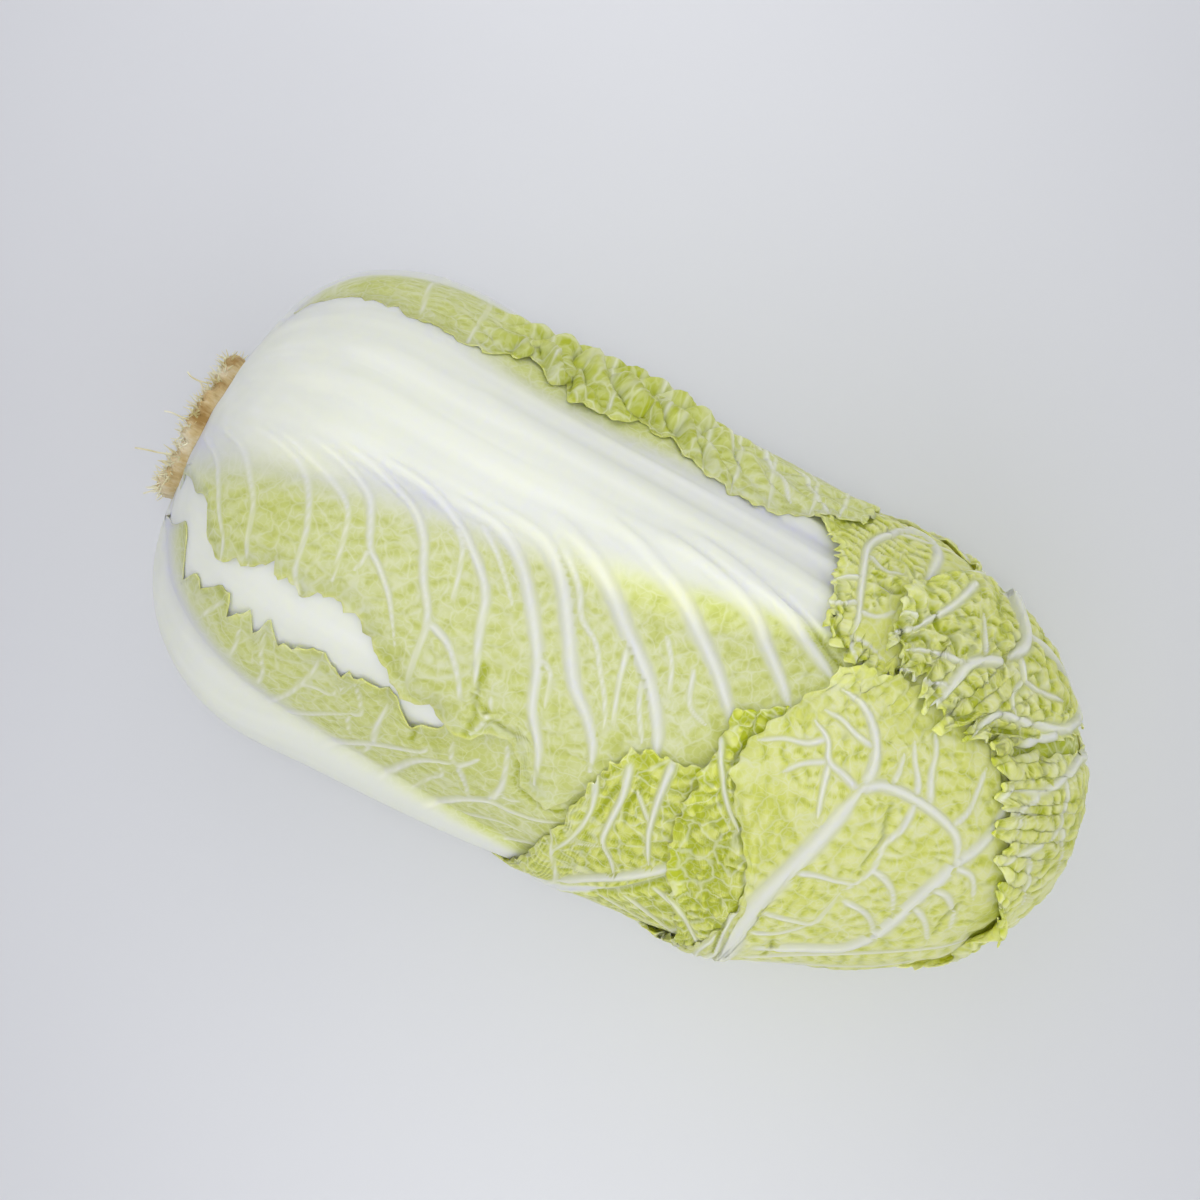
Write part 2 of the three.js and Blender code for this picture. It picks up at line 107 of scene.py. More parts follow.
# %% Make a tree and run it
def new_tree(name, inputs):
    tree = bpy.data.node_groups.new(name, "GeometryNodeTree")
    for socket, kind in {"Geometry": "Geometry", **inputs}.items():
        tree.interface.new_socket(socket, in_out="INPUT", socket_type="NodeSocket" + kind)
    tree.interface.new_socket("Geometry", in_out="OUTPUT", socket_type="NodeSocketGeometry")
    return tree, add(tree, "NodeGroupInput").outputs


def run_tree(tree, item, values):
    modifier = item.modifiers.new(tree.name, "NODES")
    modifier.node_group = tree
    for socket in tree.interface.items_tree:
        if socket.in_out == "INPUT" and socket.name in values:
            modifier[socket.identifier] = values[socket.name]
    graph = bpy.context.evaluated_depsgraph_get()
    mesh = bpy.data.meshes.new_from_object(item.evaluated_get(graph))
    item.modifiers.clear()
    return mesh


print("Blender", bpy.app.version_string)

# %% [markdown]
# ## The head's form
# Every place on the head is kept on a chart: a plain capsule of 70 mm radius round a
# straight spine. From a place comes the foot on the spine and the direction out of it, and
# a leaf is then a height along that direction. Distances on the chart are close to those
# on the head, so patterns laid out on it keep their real size. These numbers are those of
# the solids, but for the heart's: it is 3 to 7 mm fuller than its solid, since the leaves
# grown here are thinner than their solids. Lengths are in millimetres until a mesh is made.

# %% The chart of places
MIDDLE = np.array([142.0, -1.3, -66.2])
SPINE = (58.0, 196.0)
HEART = {"front": 64.6, "back": 71.0, "up": 65.5, "down": 57.0, "crown": 92.5, "base": 57.0}
SIDE, UP, DOWN, CROWN, BASE, BLUNT = 78.0, 73.0, 71.0, 96.0, 58.0, 2.6
CAPSULE = 70.0


def smooth(low, high, value):
    share = np.clip((value - low) / (high - low), 0, 1)
    return share * share * (3 - 2 * share)


def narrowing(x):
    ahead = np.clip((x - SPINE[1]) / CROWN, 0, 0.999)
    behind = np.clip((SPINE[0] - x) / BASE, 0, 0.999)
    return np.sqrt(1 - ahead ** 2) * (1 - behind ** BLUNT) ** (1 / BLUNT)


def aim(points):
    foot = np.clip(points[..., 0], *SPINE)
    d = points - np.stack([foot, 0 * foot, 0 * foot], axis=-1)
    return foot, d / np.linalg.norm(d, axis=-1, keepdims=True)


def on_chart(points):
    foot, d = aim(points)
    d = d * CAPSULE
    d[..., 0] += foot
    return d


def place(x, degrees):
    x, angle = np.asarray(x, float), np.radians(degrees)
    vertical = np.where(np.cos(angle) > 0, UP, DOWN)
    across = SIDE * narrowing(x) * np.sin(angle)
    height = vertical * narrowing(x) * np.cos(angle)
    return on_chart(np.stack([x, across, height], axis=-1))


def seen(x, y):
    """The place on the upper side that lies over (x, y) on the table."""
    x = np.asarray(x, float)
    share = np.asarray(y) / (SIDE * narrowing(x))
    return place(x, np.degrees(np.arcsin(np.clip(share, -0.995, 0.995))))


def outward(foot, d, height):
    point = d * np.asarray(height)[..., None]
    point[..., 0] += foot
    return point


def through(values, t):
    """A uniform Catmull-Rom curve through a list, at every t from 0 to 1."""
    values = np.asarray(values, float)
    if values.ndim > 1:
        return np.stack([through(values[:, k], t) for k in range(values.shape[1])], axis=-1)
    last = len(values) - 1
    padded = np.concatenate([[2 * values[0] - values[1]], values,
                             [2 * values[-1] - values[-2]]])
    at = np.clip(t, 0, 1) * last
    i = np.minimum(at.astype(int), last - 1)
    f = at - i
    a, b, c, e = padded[i], padded[i + 1], padded[i + 2], padded[i + 3]
    return b + 0.5 * f * (c - a + f * (2 * a - 5 * b + 4 * c - e + f * (3 * (b - c) + e - a)))


print("crown tip of the chart:", place(291.0, 0.0).round(1))

# %% [markdown]
# ## The leaves
# Each leaf is a rib and two edges, as distance along the head and angle round it, from the
# stem to the tip. The rib's width and thickness go with it, and so do `white`, the width of
# white flesh; `size`, its rows and columns; `net`, the size of the blade's blisters with the
# heights of the net and of the blisters; and `folds`, their length and height. `low_margin`
# and `high_margin` give an edge's own scallops where it lies on top, as points over the
# table. `frill`, `curl` and `rumple` say how much an edge waves, rolls and crumples from the
# stem to the tip, `lobes` how deeply the tip is notched, `ridges` how high the rib's long
# ridges are, and `green` how green the blade is. `across` draws the columns together where
# it is larger, and `crown` marks the leaves that fold over the crown.

# %% Rib and edges of each leaf
LEAVES = [
    dict(
        name="leaf_inner_front",
        mid=[(0.9, -30), (42, -30), (84, -29), (126, -28), (168, -24), (205, -18), (238, -12)],
        low=[(0.9, -82), (42, -85), (84, -86), (126, -86), (168, -84), (205, -75), (235, -50)],
        high=[(0.9, 18), (42, 22), (84, 26), (126, 28), (168, 30), (205, 30), (235, 25)],
        rib=[0.7, 0.55, 0.45, 0.36, 0.26, 0.16, 0.06], thick=[1.2, 5.5, 5, 4, 3, 2, 1.5],
        white=[90, 90], size=(70, 60), net=(7, 0.2, 0.2), ridges=0.3, green=0.3, seed=1,
    ),
    dict(
        name="leaf_front",
        mid=[(0.9, -88), (40, -91), (80, -93), (120, -93), (160, -92), (200, -90), (232, -82)],
        low=[(0.9, -128), (40, -134), (80, -138), (120, -140), (160, -140), (200, -135),
             (232, -118)],
        high=[(0.9, -52), (28, -38), (62, -38), (96, -37), (130, -31), (168, -28), (215, -35)],
        high_margin=[(2, -30), (6, -30.5), (9, -30), (11, -28), (13, -31), (15, -38),
                     (17.5, -44.5), (19, -42.5), (21, -41.5), (23, -42.5), (24.3, -46),
                     (25.5, -43), (28, -41.2), (32, -40.5), (34, -41), (35, -43), (36.3, -48.5),
                     (38, -45), (40, -43.3), (42, -42.8), (44, -45.5), (46, -48.8), (47, -44),
                     (48, -42.5), (50, -42.4), (52, -45), (54, -48), (56, -46), (60, -44.6),
                     (64, -42.8), (67, -42.6), (70, -43.8), (73, -46), (74.3, -49), (75.6, -44.5),
                     (80, -44), (86, -42.8), (91, -43), (94, -46.2), (97, -48.8), (100, -51.5),
                     (101, -48.5), (106, -46), (113, -41), (122, -36), (133, -36), (152, -34)],
        rib=[0.8, 0.62, 0.45, 0.34, 0.28, 0.18, 0.06], thick=[1.2, 10.4, 10.4, 9, 5, 2, 1.3],
        high_frill=[0, 0.4, 0.5, 0.5, 0.5, 0, 0], high_curl=[0, 0.15, 0.2, 0.3, 0.3, 0, 0],
        white=[72, 50, 24, 15, 12, 8, 4], high_white=[48, 45, 32, 21, 14, 8, 4],
        size=(210, 115), across=[0.6, 0.6, 1.2, 1.6], net=(10, 0.25, 0.5), folds=(6, 0.12),
        green=0.5, seed=2,
    ),
    dict(
        name="leaf_upper",
        mid=[(0.9, 31), (36, 30), (70, 29), (105, 29), (140, 31), (174, 33), (204, 33)],
        low=[(0.9, -30), (28, -29), (58, -20), (92, -33), (141, -43), (172, -26), (208, 6)],
        high=[(0.9, 84), (36, 88), (70, 90), (105, 90), (140, 88), (174, 80), (204, 58)],
        low_margin=[(3, -15), (9, -17), (15, -20), (18, -26), (24, -33), (28, -33), (31, -30),
                    (36, -31), (39, -27), (42, -26), (46, -29), (50, -27), (54, -31),
                    (58, -27), (62, -26), (67, -27), (72, -28), (76, -31), (80, -34),
                    (86, -38), (92, -43), (97, -42), (103, -42), (108, -44), (111, -46),
                    (113, -46), (115.5, -44), (118, -40.5), (121, -40), (126, -39),
                    (131, -44), (134, -50), (139, -52), (144, -53), (148, -49), (151, -42),
                    (156, -36), (164, -31), (172, -28), (180, -20), (186, -10), (192, 0),
                    (199, 14)],
        rib=[0.68, 0.54, 0.42, 0.35, 0.32, 0.28, 0.14], thick=[1.2, 7, 6.5, 5.5, 4.5, 3.5, 2],
        low_frill=[0, 0.4, 0.4, 0.4, 0.5, 0.3, 0], low_curl=[0, 0.15, 0.2, 0.2, 0.2, 0, 0],
        white=[46, 38, 32, 26, 19, 12, 8], high_white=[60, 45, 28, 27, 29, 34, 26],
        size=(225, 190), across=[1.2, 1.3, 1.2, 1, 0.5], net=(11, 0.25, 0.35), folds=(5.5, 0.35),
        ridges=1.3, green=0.4, seed=3,
    ),
    dict(
        name="leaf_shoulder",
        mid=[(0.9, 110), (50, 92), (100, 88), (150, 86), (186, 79), (204, 58), (206, 19)],
        low=[(0.9, 106), (50, 84), (100, 80), (150, 74), (175, 57), (184, 45), (184, 28)],
        high=[(0.9, 116), (50, 104), (100, 104), (150, 106), (192, 104), (226, 88), (230, 24)],
        rib=[0.8, 0.6, 0.5, 0.3, 0.2, 0.12, 0.06], thick=[1, 1, 1, 1, 1, 1, 1],
        low_frill=[0, 0, 0, 0, 2, 3, 3], tip_frill=2.4, lobes=0.02,
        white=[30, 20, 10, 3, 0, 0, 0], size=(170, 85), net=(7, 0.4, 1.3), folds=(4.4, 0.9),
        green=0.42, crown=True, seed=4,
    ),
    dict(
        name="leaf_back",
        mid=[(0.9, 116), (33, 113), (66, 111), (99, 109), (132, 107), (162, 104), (192, 98)],
        low=[(0.9, 118), (16, 66), (50, 57), (86, 59), (120, 60), (154, 57), (186, 64)],
        high=[(0.9, 152), (35, 156), (70, 158), (105, 158), (140, 156), (172, 148),
              (196, 130)],
        rib=[0.8, 0.6, 0.45, 0.36, 0.3, 0.22, 0.08], thick=[1.2, 6.5, 6, 5, 4, 3, 2],
        low_margin=[(6, 44), (10, 49.5), (17, 54), (22, 57), (31, 59), (37, 60), (41, 58.5),
                    (50, 61), (56, 60), (62, 61), (68, 62.5), (72, 65.5), (75, 65), (77, 67.5),
                    (83, 66.5), (84, 63.5), (89, 63.5), (91, 66), (93, 61), (99, 61), (103, 62.5),
                    (108, 61.5), (112, 64), (114, 67.5), (118, 66), (122, 65.5), (127, 67),
                    (130, 63), (135, 64), (138, 61.5), (144, 62), (147, 60.5), (155, 61),
                    (163, 61), (170, 63), (176, 64), (186, 66)],
        low_frill=[0, 0.2, 0.4, 1.2, 1.2, 0.6, 0.6], low_rumple=[0, 0, 0.6, 7, 7, 2.2, 1.6],
        tip_frill=1, across=[2.4, 1.4, 0.6, 0.5, 0.5],
        white=[50, 40, 30, 24, 18, 12, 6], size=(230, 100), net=(9, 0.3, 0.6),
        folds=(4.2, 0.15), green=0.35, greens=[0.3, 0.35, 0.5, 1, 1, 0.4, 0.4], seed=5,
    ),
    dict(
        name="leaf_front_lap",
        mid=[(0.9, -120), (50, -117), (100, -110), (150, -94), (171, -66), (186, -42),
             (205, -18)],
        low=[(0.9, -145), (50, -146), (100, -142), (152, -132), (190, -110), (214, -82),
             (224, -44)],
        high=[(0.9, -100), (50, -102), (100, -104), (138, -94), (149, -50), (157, -21),
              (182, -8)],
        rib=[0.8, 0.62, 0.46, 0.3, 0.18, 0.12, 0.06], thick=[1.2, 4, 3.6, 2.6, 1.6, 1.2, 1.1],
        high_margin=[(150, -56), (151, -46), (152, -38), (154, -31), (157, -24), (162, -20.5),
                     (170, -19), (175, -14), (182, -12)],
        high_frill=[0, 0, 0, 0.8, 1.2, 1.4, 1.4], tip_frill=1.6,
        white=[40, 30, 20, 7, 2, 1, 0], size=(175, 100), net=(9, 0.35, 0.9),
        folds=(5.5, 0.45), green=0.85, crown=True, seed=6,
    ),
    dict(
        name="leaf_crown_lap",
        mid=[(0.9, -145), (60, -143), (120, -136), (174, -116), (206, -80), (206, -38),
             (198, 12)],
        low=[(0.9, -168), (60, -168), (120, -162), (184, -146), (226, -104), (230, -50),
             (226, 8)],
        high=[(0.9, -122), (60, -120), (120, -114), (172, -102), (196, -72), (180, -34),
              (172, -2)],
        rib=[0.8, 0.6, 0.45, 0.3, 0.2, 0.14, 0.08], thick=[1.2, 3.6, 3.2, 2.4, 1.6, 1.2, 1.1],
        high_frill=[0, 0, 0, 0, 2.5, 3.5, 2], tip_frill=1,
        white=[40, 30, 20, 8, 2, 0, 0], size=(165, 85), net=(7, 0.4, 1.4),
        folds=(4.4, 1.2), green=1.0, crown=True, seed=7,
    ),
    dict(
        name="leaf_crown_front",
        mid=[(0.9, -164), (60, -161), (120, -155), (168, -139), (198, -112), (211, -78),
             (215, -40), (219, -2), (225, 29)],
        low=[(0.9, -188), (60, -188), (120, -186), (180, -178), (222, -148), (256, -104),
             (280, -60), (284, -14), (266, 26)],
        high=[(0.9, -140), (60, -137), (120, -132), (162, -122), (190, -98), (203, -66),
              (205, -34), (184, -8), (192, 20)],
        rib=[0.8, 0.62, 0.46, 0.34, 0.2, 0.1, 0.05], thick=[1.2, 4.6, 4, 2.2, 1.1, 1, 1],
        low_frill=[0, 0, 0, 0, 1.5, 2.5, 2], high_frill=[0, 0, 0, 0, 0, 1.5, 2],
        tip_frill=1.2,
        white=[45, 40, 34, 20, 6, 1, 0, 0, 0], size=(270, 125), net=(11, 0.3, 0.6),
        lobes=0.006, folds=(5.5, 0.5), green=0.2, crown=True, seed=8,
    ),
    dict(
        name="leaf_crown_end",
        mid=[(0.9, 176), (60, 176), (120, 175), (180, 171), (243, 160), (287, 120), (262, 3)],
        low=[(0.9, 150), (60, 149), (120, 147), (180, 141), (238, 124), (277, 84), (245, 27)],
        high=[(0.9, 203), (60, 205), (120, 206), (180, 210), (238, 236), (276, 276),
              (279, 326)],
        rib=[0.85, 0.78, 0.7, 0.55, 0.3, 0.18, 0.08],
        thick=[1.2, 6.8, 6.8, 4.5, 1.4, 1, 1],
        high_frill=[0, 0, 0, 0, 2, 6, 6], tip_frill=1.6,
        white=[55, 50, 42, 30, 10, 2, 0], size=(200, 100), net=(6.5, 0.4, 1.2), lobes=0.02,
        folds=(4.2, 1.0), green=0.32, crown=True, seed=9,
    ),
    dict(
        name="leaf_crown_back",
        mid=[(0.9, 136), (60, 136), (120, 134), (178, 126), (224, 104), (243, 62), (230, 18)],
        low=[(0.9, 116), (60, 113), (120, 110), (176, 105), (222, 80), (207, 52), (201, 33)],
        high=[(0.9, 158), (60, 159), (120, 158), (184, 154), (246, 138), (273, 74),
              (256, 26)],
        rib=[0.8, 0.6, 0.45, 0.34, 0.3, 0.24, 0.12], thick=[1.2, 5, 4.6, 3, 1.2, 1, 1],
        low_frill=[0, 0, 0, 0, 0, 3, 3.4], high_frill=[0, 0, 0, 0, 0, 2, 2], tip_frill=1.6,
        white=[40, 30, 24, 14, 2, 0, 0], size=(280, 135), net=(7.5, 0.45, 1.6), lobes=0.03,
        folds=(5, 1.3), green=0.5, crown=True, seed=10,
    ),
]
print(len(LEAVES), "wrapper leaves")

# %% [markdown]
# ## Waves of the edges
# A cabbage blade grows more at its edge than in the middle, so the edge can't lie flat: it
# stands up in waves and rolls outwards. Sines of unrelated lengths give waves that don't
# repeat. A rolled edge turns along an arc, so it gains height and loses reach.

# %% Waves and curls
CURL_FROM = 0.78  # the share across from which an edge may roll


def wave(t, seed):
    return 0.5 + 0.26 * np.sin(t * 47 + seed * 2.1) + 0.17 * np.sin(t * 83 + seed * 4.7) \
        + 0.07 * np.sin(t * 171 + seed)


def by_side(leaf, key, t, w):
    low = through(leaf.get("low_" + key, [0, 0]), t.ravel()).reshape(t.shape)
    high = through(leaf.get("high_" + key, [0, 0]), t.ravel()).reshape(t.shape)
    return np.where(w < 0, low, high)


def curl(leaf, t, w, length):
    """The reach across as a share, and the lift in millimetres, of a rolled edge."""
    across = np.abs(w)
    band = (across - CURL_FROM) / (1 - CURL_FROM)
    turn = by_side(leaf, "curl", t, w) * wave(t * 1.3, leaf["seed"] + 1.7) + 1e-4
    reach = length * (1 - CURL_FROM)
    rolled = np.clip(band, 0, 1) * turn
    flat = np.where(band > 0, CURL_FROM + (1 - CURL_FROM) * np.sin(rolled) / turn, across)
    return flat, reach * (1 - np.cos(rolled)) / turn


def frill(leaf, t, w):
    side = by_side(leaf, "frill", t, w) * smooth(0.7, 1, np.abs(w)) * wave(
        t, leaf["seed"] + (w < 0) * 0.5)
    tip = leaf.get("tip_frill", 0.6) * smooth(0.9, 1, t)
    lobes = np.abs(np.sin(t * 58 + 2.6 * np.sin(w * 13 + leaf["seed"])))
    side = side + by_side(leaf, "rumple", t, w) * smooth(0.4, 0.7, np.abs(w)) * lobes \
        * (0.6 + 0.4 * np.sin(w * 31 + t * 24)) * (1 - 0.85 * smooth(0.9, 1, np.abs(w)))
    return side + tip * wave(w * 0.45, leaf["seed"] + 3)


print("range of the waves:", np.ptp(wave(np.linspace(0, 1, 99), 1)).round(2))

# %% [markdown]
# ## Rows and columns
# A leaf is a grid: rows run from the stem to the tip, columns from one edge to the other.
# Rows curve forward towards the edges, as the side veins of a real leaf do. An edge that
# lies on top takes its scallops from its margin; elsewhere it is the plain curve.

# %% A leaf's grid on the chart
EDGE_SAMPLES = np.linspace(0, 1, 600)
MARGIN_FROM = 0.6  # the share across from which a row heads for the scalloped edge
FORWARD = 0.68  # how far rows bend forward towards the edges


def plain_edge(places):
    return on_chart(through(place(*np.array(places, float).T), EDGE_SAMPLES))


def scalloped(samples, margin):
    if not margin:
        return samples
    mx, my = np.array(margin, float).T
    x = samples[:, 0]
    lying = (x > mx[0]) & (x < mx[-1]) & (samples[:, 2] > 0)
    return np.where(lying[:, None], seen(x, np.interp(x, mx, my)), samples)


def along(samples, t):
    return np.stack([np.interp(t, EDGE_SAMPLES, samples[:, k]) for k in range(3)], axis=-1)


def ragged(t, seed):
    """Small teeth of an edge, in millimetres."""
    return 0.5 * np.sin(t * 190 + seed) + 0.4 * np.sin(t * 317 + seed * 3) \
        + 0.7 * np.abs(np.sin(t * 74 + seed * 2)) - 0.4


def chart_grid(leaf, rows, columns):
    """For each row and column: its share along and across, its place, and the edge's reach."""
    row, w = np.meshgrid(rows, columns, indexing="ij")
    t = row + FORWARD * np.abs(w) ** 0.7 * row * (1 - row)
    notches = 1.5 - np.abs(np.sin(w * 8 + leaf["seed"])) - 0.5 * np.abs(np.sin(w * 21))
    t = t * (1 - leaf.get("lobes", 0.004) * notches * smooth(0.75, 1, row))
    mid = on_chart(through(place(*np.array(leaf["mid"], float).T), t.ravel()))
    mid = mid.reshape(*t.shape, 3)
    sides = []
    for key in ("low", "high"):
        plain = plain_edge(leaf[key])
        detailed = along(scalloped(plain, leaf.get(key + "_margin")), t)
        near_edge = smooth(MARGIN_FROM, 1, np.abs(w))[..., None]
        sides.append(along(plain, t) * (1 - near_edge) + detailed * near_edge)
    edge = np.where((w < 0)[..., None], *sides)
    length = np.linalg.norm(edge - mid, axis=-1)
    teeth = ragged(t, leaf["seed"] + (w < 0)) * smooth(0.8, 1, np.abs(w)) * smooth(0, 0.1, t)
    rounding = 1 - 0.22 * smooth(0.8, 1, t) ** 2 + 1.3 * teeth / length
    flat, lift = curl(leaf, t, w, length)
    share = (flat * rounding)[..., None]
    return t, w, on_chart(mid + (edge - mid) * share), lift, length


def spread(count, weights):
    """Places from 0 to 1, closer together where the weights are larger."""
    fine = np.linspace(0, 1, 500)
    density = np.interp(fine, np.linspace(0, 1, len(weights)), weights)
    total = np.concatenate([[0], np.cumsum((density[1:] + density[:-1]) / 2)])
    return np.interp(np.linspace(0, total[-1], count), total, fine)


def rows_of(leaf, count):
    return spread(count, [1.6, 0.5, 0.5, 0.8, 1.8, 2.2, 2.2] if leaf.get("crown")
                  else [2.2, 1.1, 1, 1, 1, 1, 1])


def columns_of(leaf, count):
    return 2 * spread(count, leaf.get("across", [1, 1])) - 1


print("a leaf of 3 rows and 3 columns:", chart_grid(LEAVES[0], [0, 0.5, 1], [-1, 0, 1])[2].shape)

# %% [markdown]
# ## Laying one leaf on another
# Leaves are laid from the inside out. Rays from outside find how far out the pieces already
# laid reach; the new leaf lies on the highest of them like a taut skin, touching the bumps
# and bridging the hollows. Where later leaves will cover it, a leaf is pressed flat, and
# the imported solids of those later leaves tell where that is.

# %% Rays against what is already there
FAR = 160.0


def ray_tree(objects):
    points, faces = [], []
    for item in objects:
        mesh = item.data
        flat = np.empty(len(mesh.vertices) * 3)
        mesh.vertices.foreach_get("co", flat)
        start = len(points)
        points.extend((flat.reshape(-1, 3) * 1000 + MIDDLE).tolist())
        faces.extend([[start + v for v in polygon.vertices] for polygon in mesh.polygons])
    return BVHTree.FromPolygons(points, faces)


def covered_to(foot, d, trees):
    """The furthest distance from each foot, along its direction, at which a tree is met."""
    reached = np.zeros(foot.shape)
    for index in np.ndindex(foot.shape):
        direction = Vector(d[index])
        start = Vector((foot[index], 0, 0)) + direction * FAR
        for tree in trees:
            hit = tree.ray_cast(start, -direction, FAR)[3]
            if hit is not None:
                reached[index] = max(reached[index], FAR - hit)
    return reached


def eased(grid, times=1):
    for _ in range(times):
        padded = np.pad(grid, 1, mode="edge")
        grid = (padded[:-2, 1:-1] + padded[2:, 1:-1] + padded[1:-1, :-2]
                + padded[1:-1, 2:] + 2 * grid) / 6
    return grid


def highest_near(grid):
    padded = np.pad(grid, 1, mode="edge")
    rows, columns = grid.shape
    shifts = [padded[i:i + rows, j:j + columns] for i in range(3) for j in range(3)]
    return np.max(shifts, axis=0)


def refined(grid, rows, columns, fine_rows, fine_columns):
    tall = np.stack([np.interp(fine_columns, columns, line) for line in grid])
    return np.stack([np.interp(fine_rows, rows, line) for line in tall.T]).T


print("rays start", FAR, "mm from the spine")

# %% [markdown]
# ## Bodies from points
# Every body here is points and faces worked out in millimetres on the head, then moved to
# the frame and scaled to metres. Numbers that a tree or a material reads later are kept on
# the points as attributes. A ring body, such as the heart or the stem, is rings of points
# joined side by side and closed by a cap at each end.

# %% Make a body and keep numbers on it
def body(name, points, faces):
    mesh = bpy.data.meshes.new(name)
    mesh.from_pydata(((points.reshape(-1, 3) - MIDDLE) / 1000).tolist(), [], faces)
    mesh.shade_smooth()
    return put(name, mesh)


def keep(mesh, values):
    """Store numbers on a mesh's points: vectors where there are three for each point."""
    for key, data in values.items():
        flat = np.asarray(data, float).ravel()
        vector = len(flat) > len(mesh.vertices)
        layer = mesh.attributes.new(key, "FLOAT_VECTOR" if vector else "FLOAT", "POINT")
        layer.data.foreach_set("vector" if vector else "value", flat)


def ring_body(name, points, values):
    rings, sides = points.shape[:2]
    index = np.arange(rings * sides).reshape(rings, sides)
    beside = np.roll(index, -1, axis=1)
    quads = np.stack([index[:-1], index[1:], beside[1:], beside[:-1]], axis=-1)
    caps = [index[0].tolist(), index[-1][::-1].tolist()]
    item = body(name, points, quads.reshape(-1, 4).tolist() + caps)
    keep(item.data, values)
    return item


print("the frame's middle is at", MIDDLE, "mm on the head")

# %% [markdown]
# ## A leaf as a closed sheet
# The outside and the inside are the same grid at two heights, joined by a rim, so the leaf
# is a closed thin body. Its points keep their place on the chart, the way out, how far they
# are rib, and how open they lie.

# %% Make a sheet
def sheet_object(name, outside, inside, point_data):
    rows, columns = outside.shape[:2]
    count = rows * columns
    index = np.arange(count).reshape(rows, columns)
    quads = np.stack([index[:-1, :-1], index[1:, :-1], index[1:, 1:], index[:-1, 1:]], axis=-1)
    quads = quads.reshape(-1, 4)
    border = np.concatenate([index[:, 0], index[-1, 1:], index[-2::-1, -1], index[0, -2:0:-1]])
    following = np.roll(border, -1)
    rim = np.stack([following, border, border + count, following + count], axis=-1)
    faces = np.concatenate([quads, quads[:, ::-1] + count, rim])
    item = body(name, np.stack([outside, inside]), faces.tolist())
    keep(item.data, {key: np.stack([values] * 2) for key, values in point_data.items()})
    return item


def normals(points):
    normal = np.cross(np.gradient(points, axis=0), np.gradient(points, axis=1))
    return normal / np.maximum(np.linalg.norm(normal, axis=-1, keepdims=True), 1e-9)


flat_grid = np.stack(np.meshgrid([0, 1], [0, 1], [0], indexing="ij"), axis=-1)[:, :, 0]
print("a flat grid's way out:", normals(flat_grid)[0, 0])

# %% [markdown]
# ## Where a leaf rests, and its own shape
# First a coarse grid finds the height of the leaves below and pulls the taut skin over them,
# with the edges, the tip and the base drawn down on what they touch. Then the fine grid
# adds what the leaf has of its own: waves and curls where it lies open, a rib that is
# thickest at the stem, and long ridges along the rib's back.

# %% Lay a leaf
COARSE_ROWS, COARSE_COLUMNS = 84, 46
TAUT_STEPS = 26  # how often the skin is pulled tight
CLEAR, SUNK = 0.2, 0.3  # millimetres over the leaves below, and into them at the edges
BLADE = 0.75  # millimetres thick, half of that at the edge
RIDGE_SPACING = 10.4  # degrees round the head: about 10 mm
RIDGE_START = 42.3  # degrees round the head where the ridges are counted from


def profile(leaf, key, t):
    return through(leaf[key], t.ravel()).reshape(t.shape)


def resting(leaf, below, above):
    """The coarse grid's rows and columns, each place's height, and how open it lies."""
    rows, columns = rows_of(leaf, COARSE_ROWS), np.linspace(-1, 1, COARSE_COLUMNS)
    t, w, chart = chart_grid(leaf, rows, columns)[:3]
    foot, d = aim(chart)
    reached = covered_to(foot, d, below)
    hugging = np.maximum(np.maximum(smooth(0.72, 0.97, np.abs(w)), smooth(0.88, 1, t)),
                         1 - smooth(0.05, 0.18, t))
    floor = highest_near(reached) + CLEAR
    height = floor
    for _ in range(TAUT_STEPS):
        height = np.maximum(floor, eased(height))
    close = eased(reached) - SUNK
    if leaf.get("crown"):
        close = 0.5 * (close + floor + CLEAR)
    height = height * (1 - hugging) + close * hugging
    covered = (covered_to(foot, d, above) > 0).astype(float)
    return rows, columns, height, 1 - eased(covered)


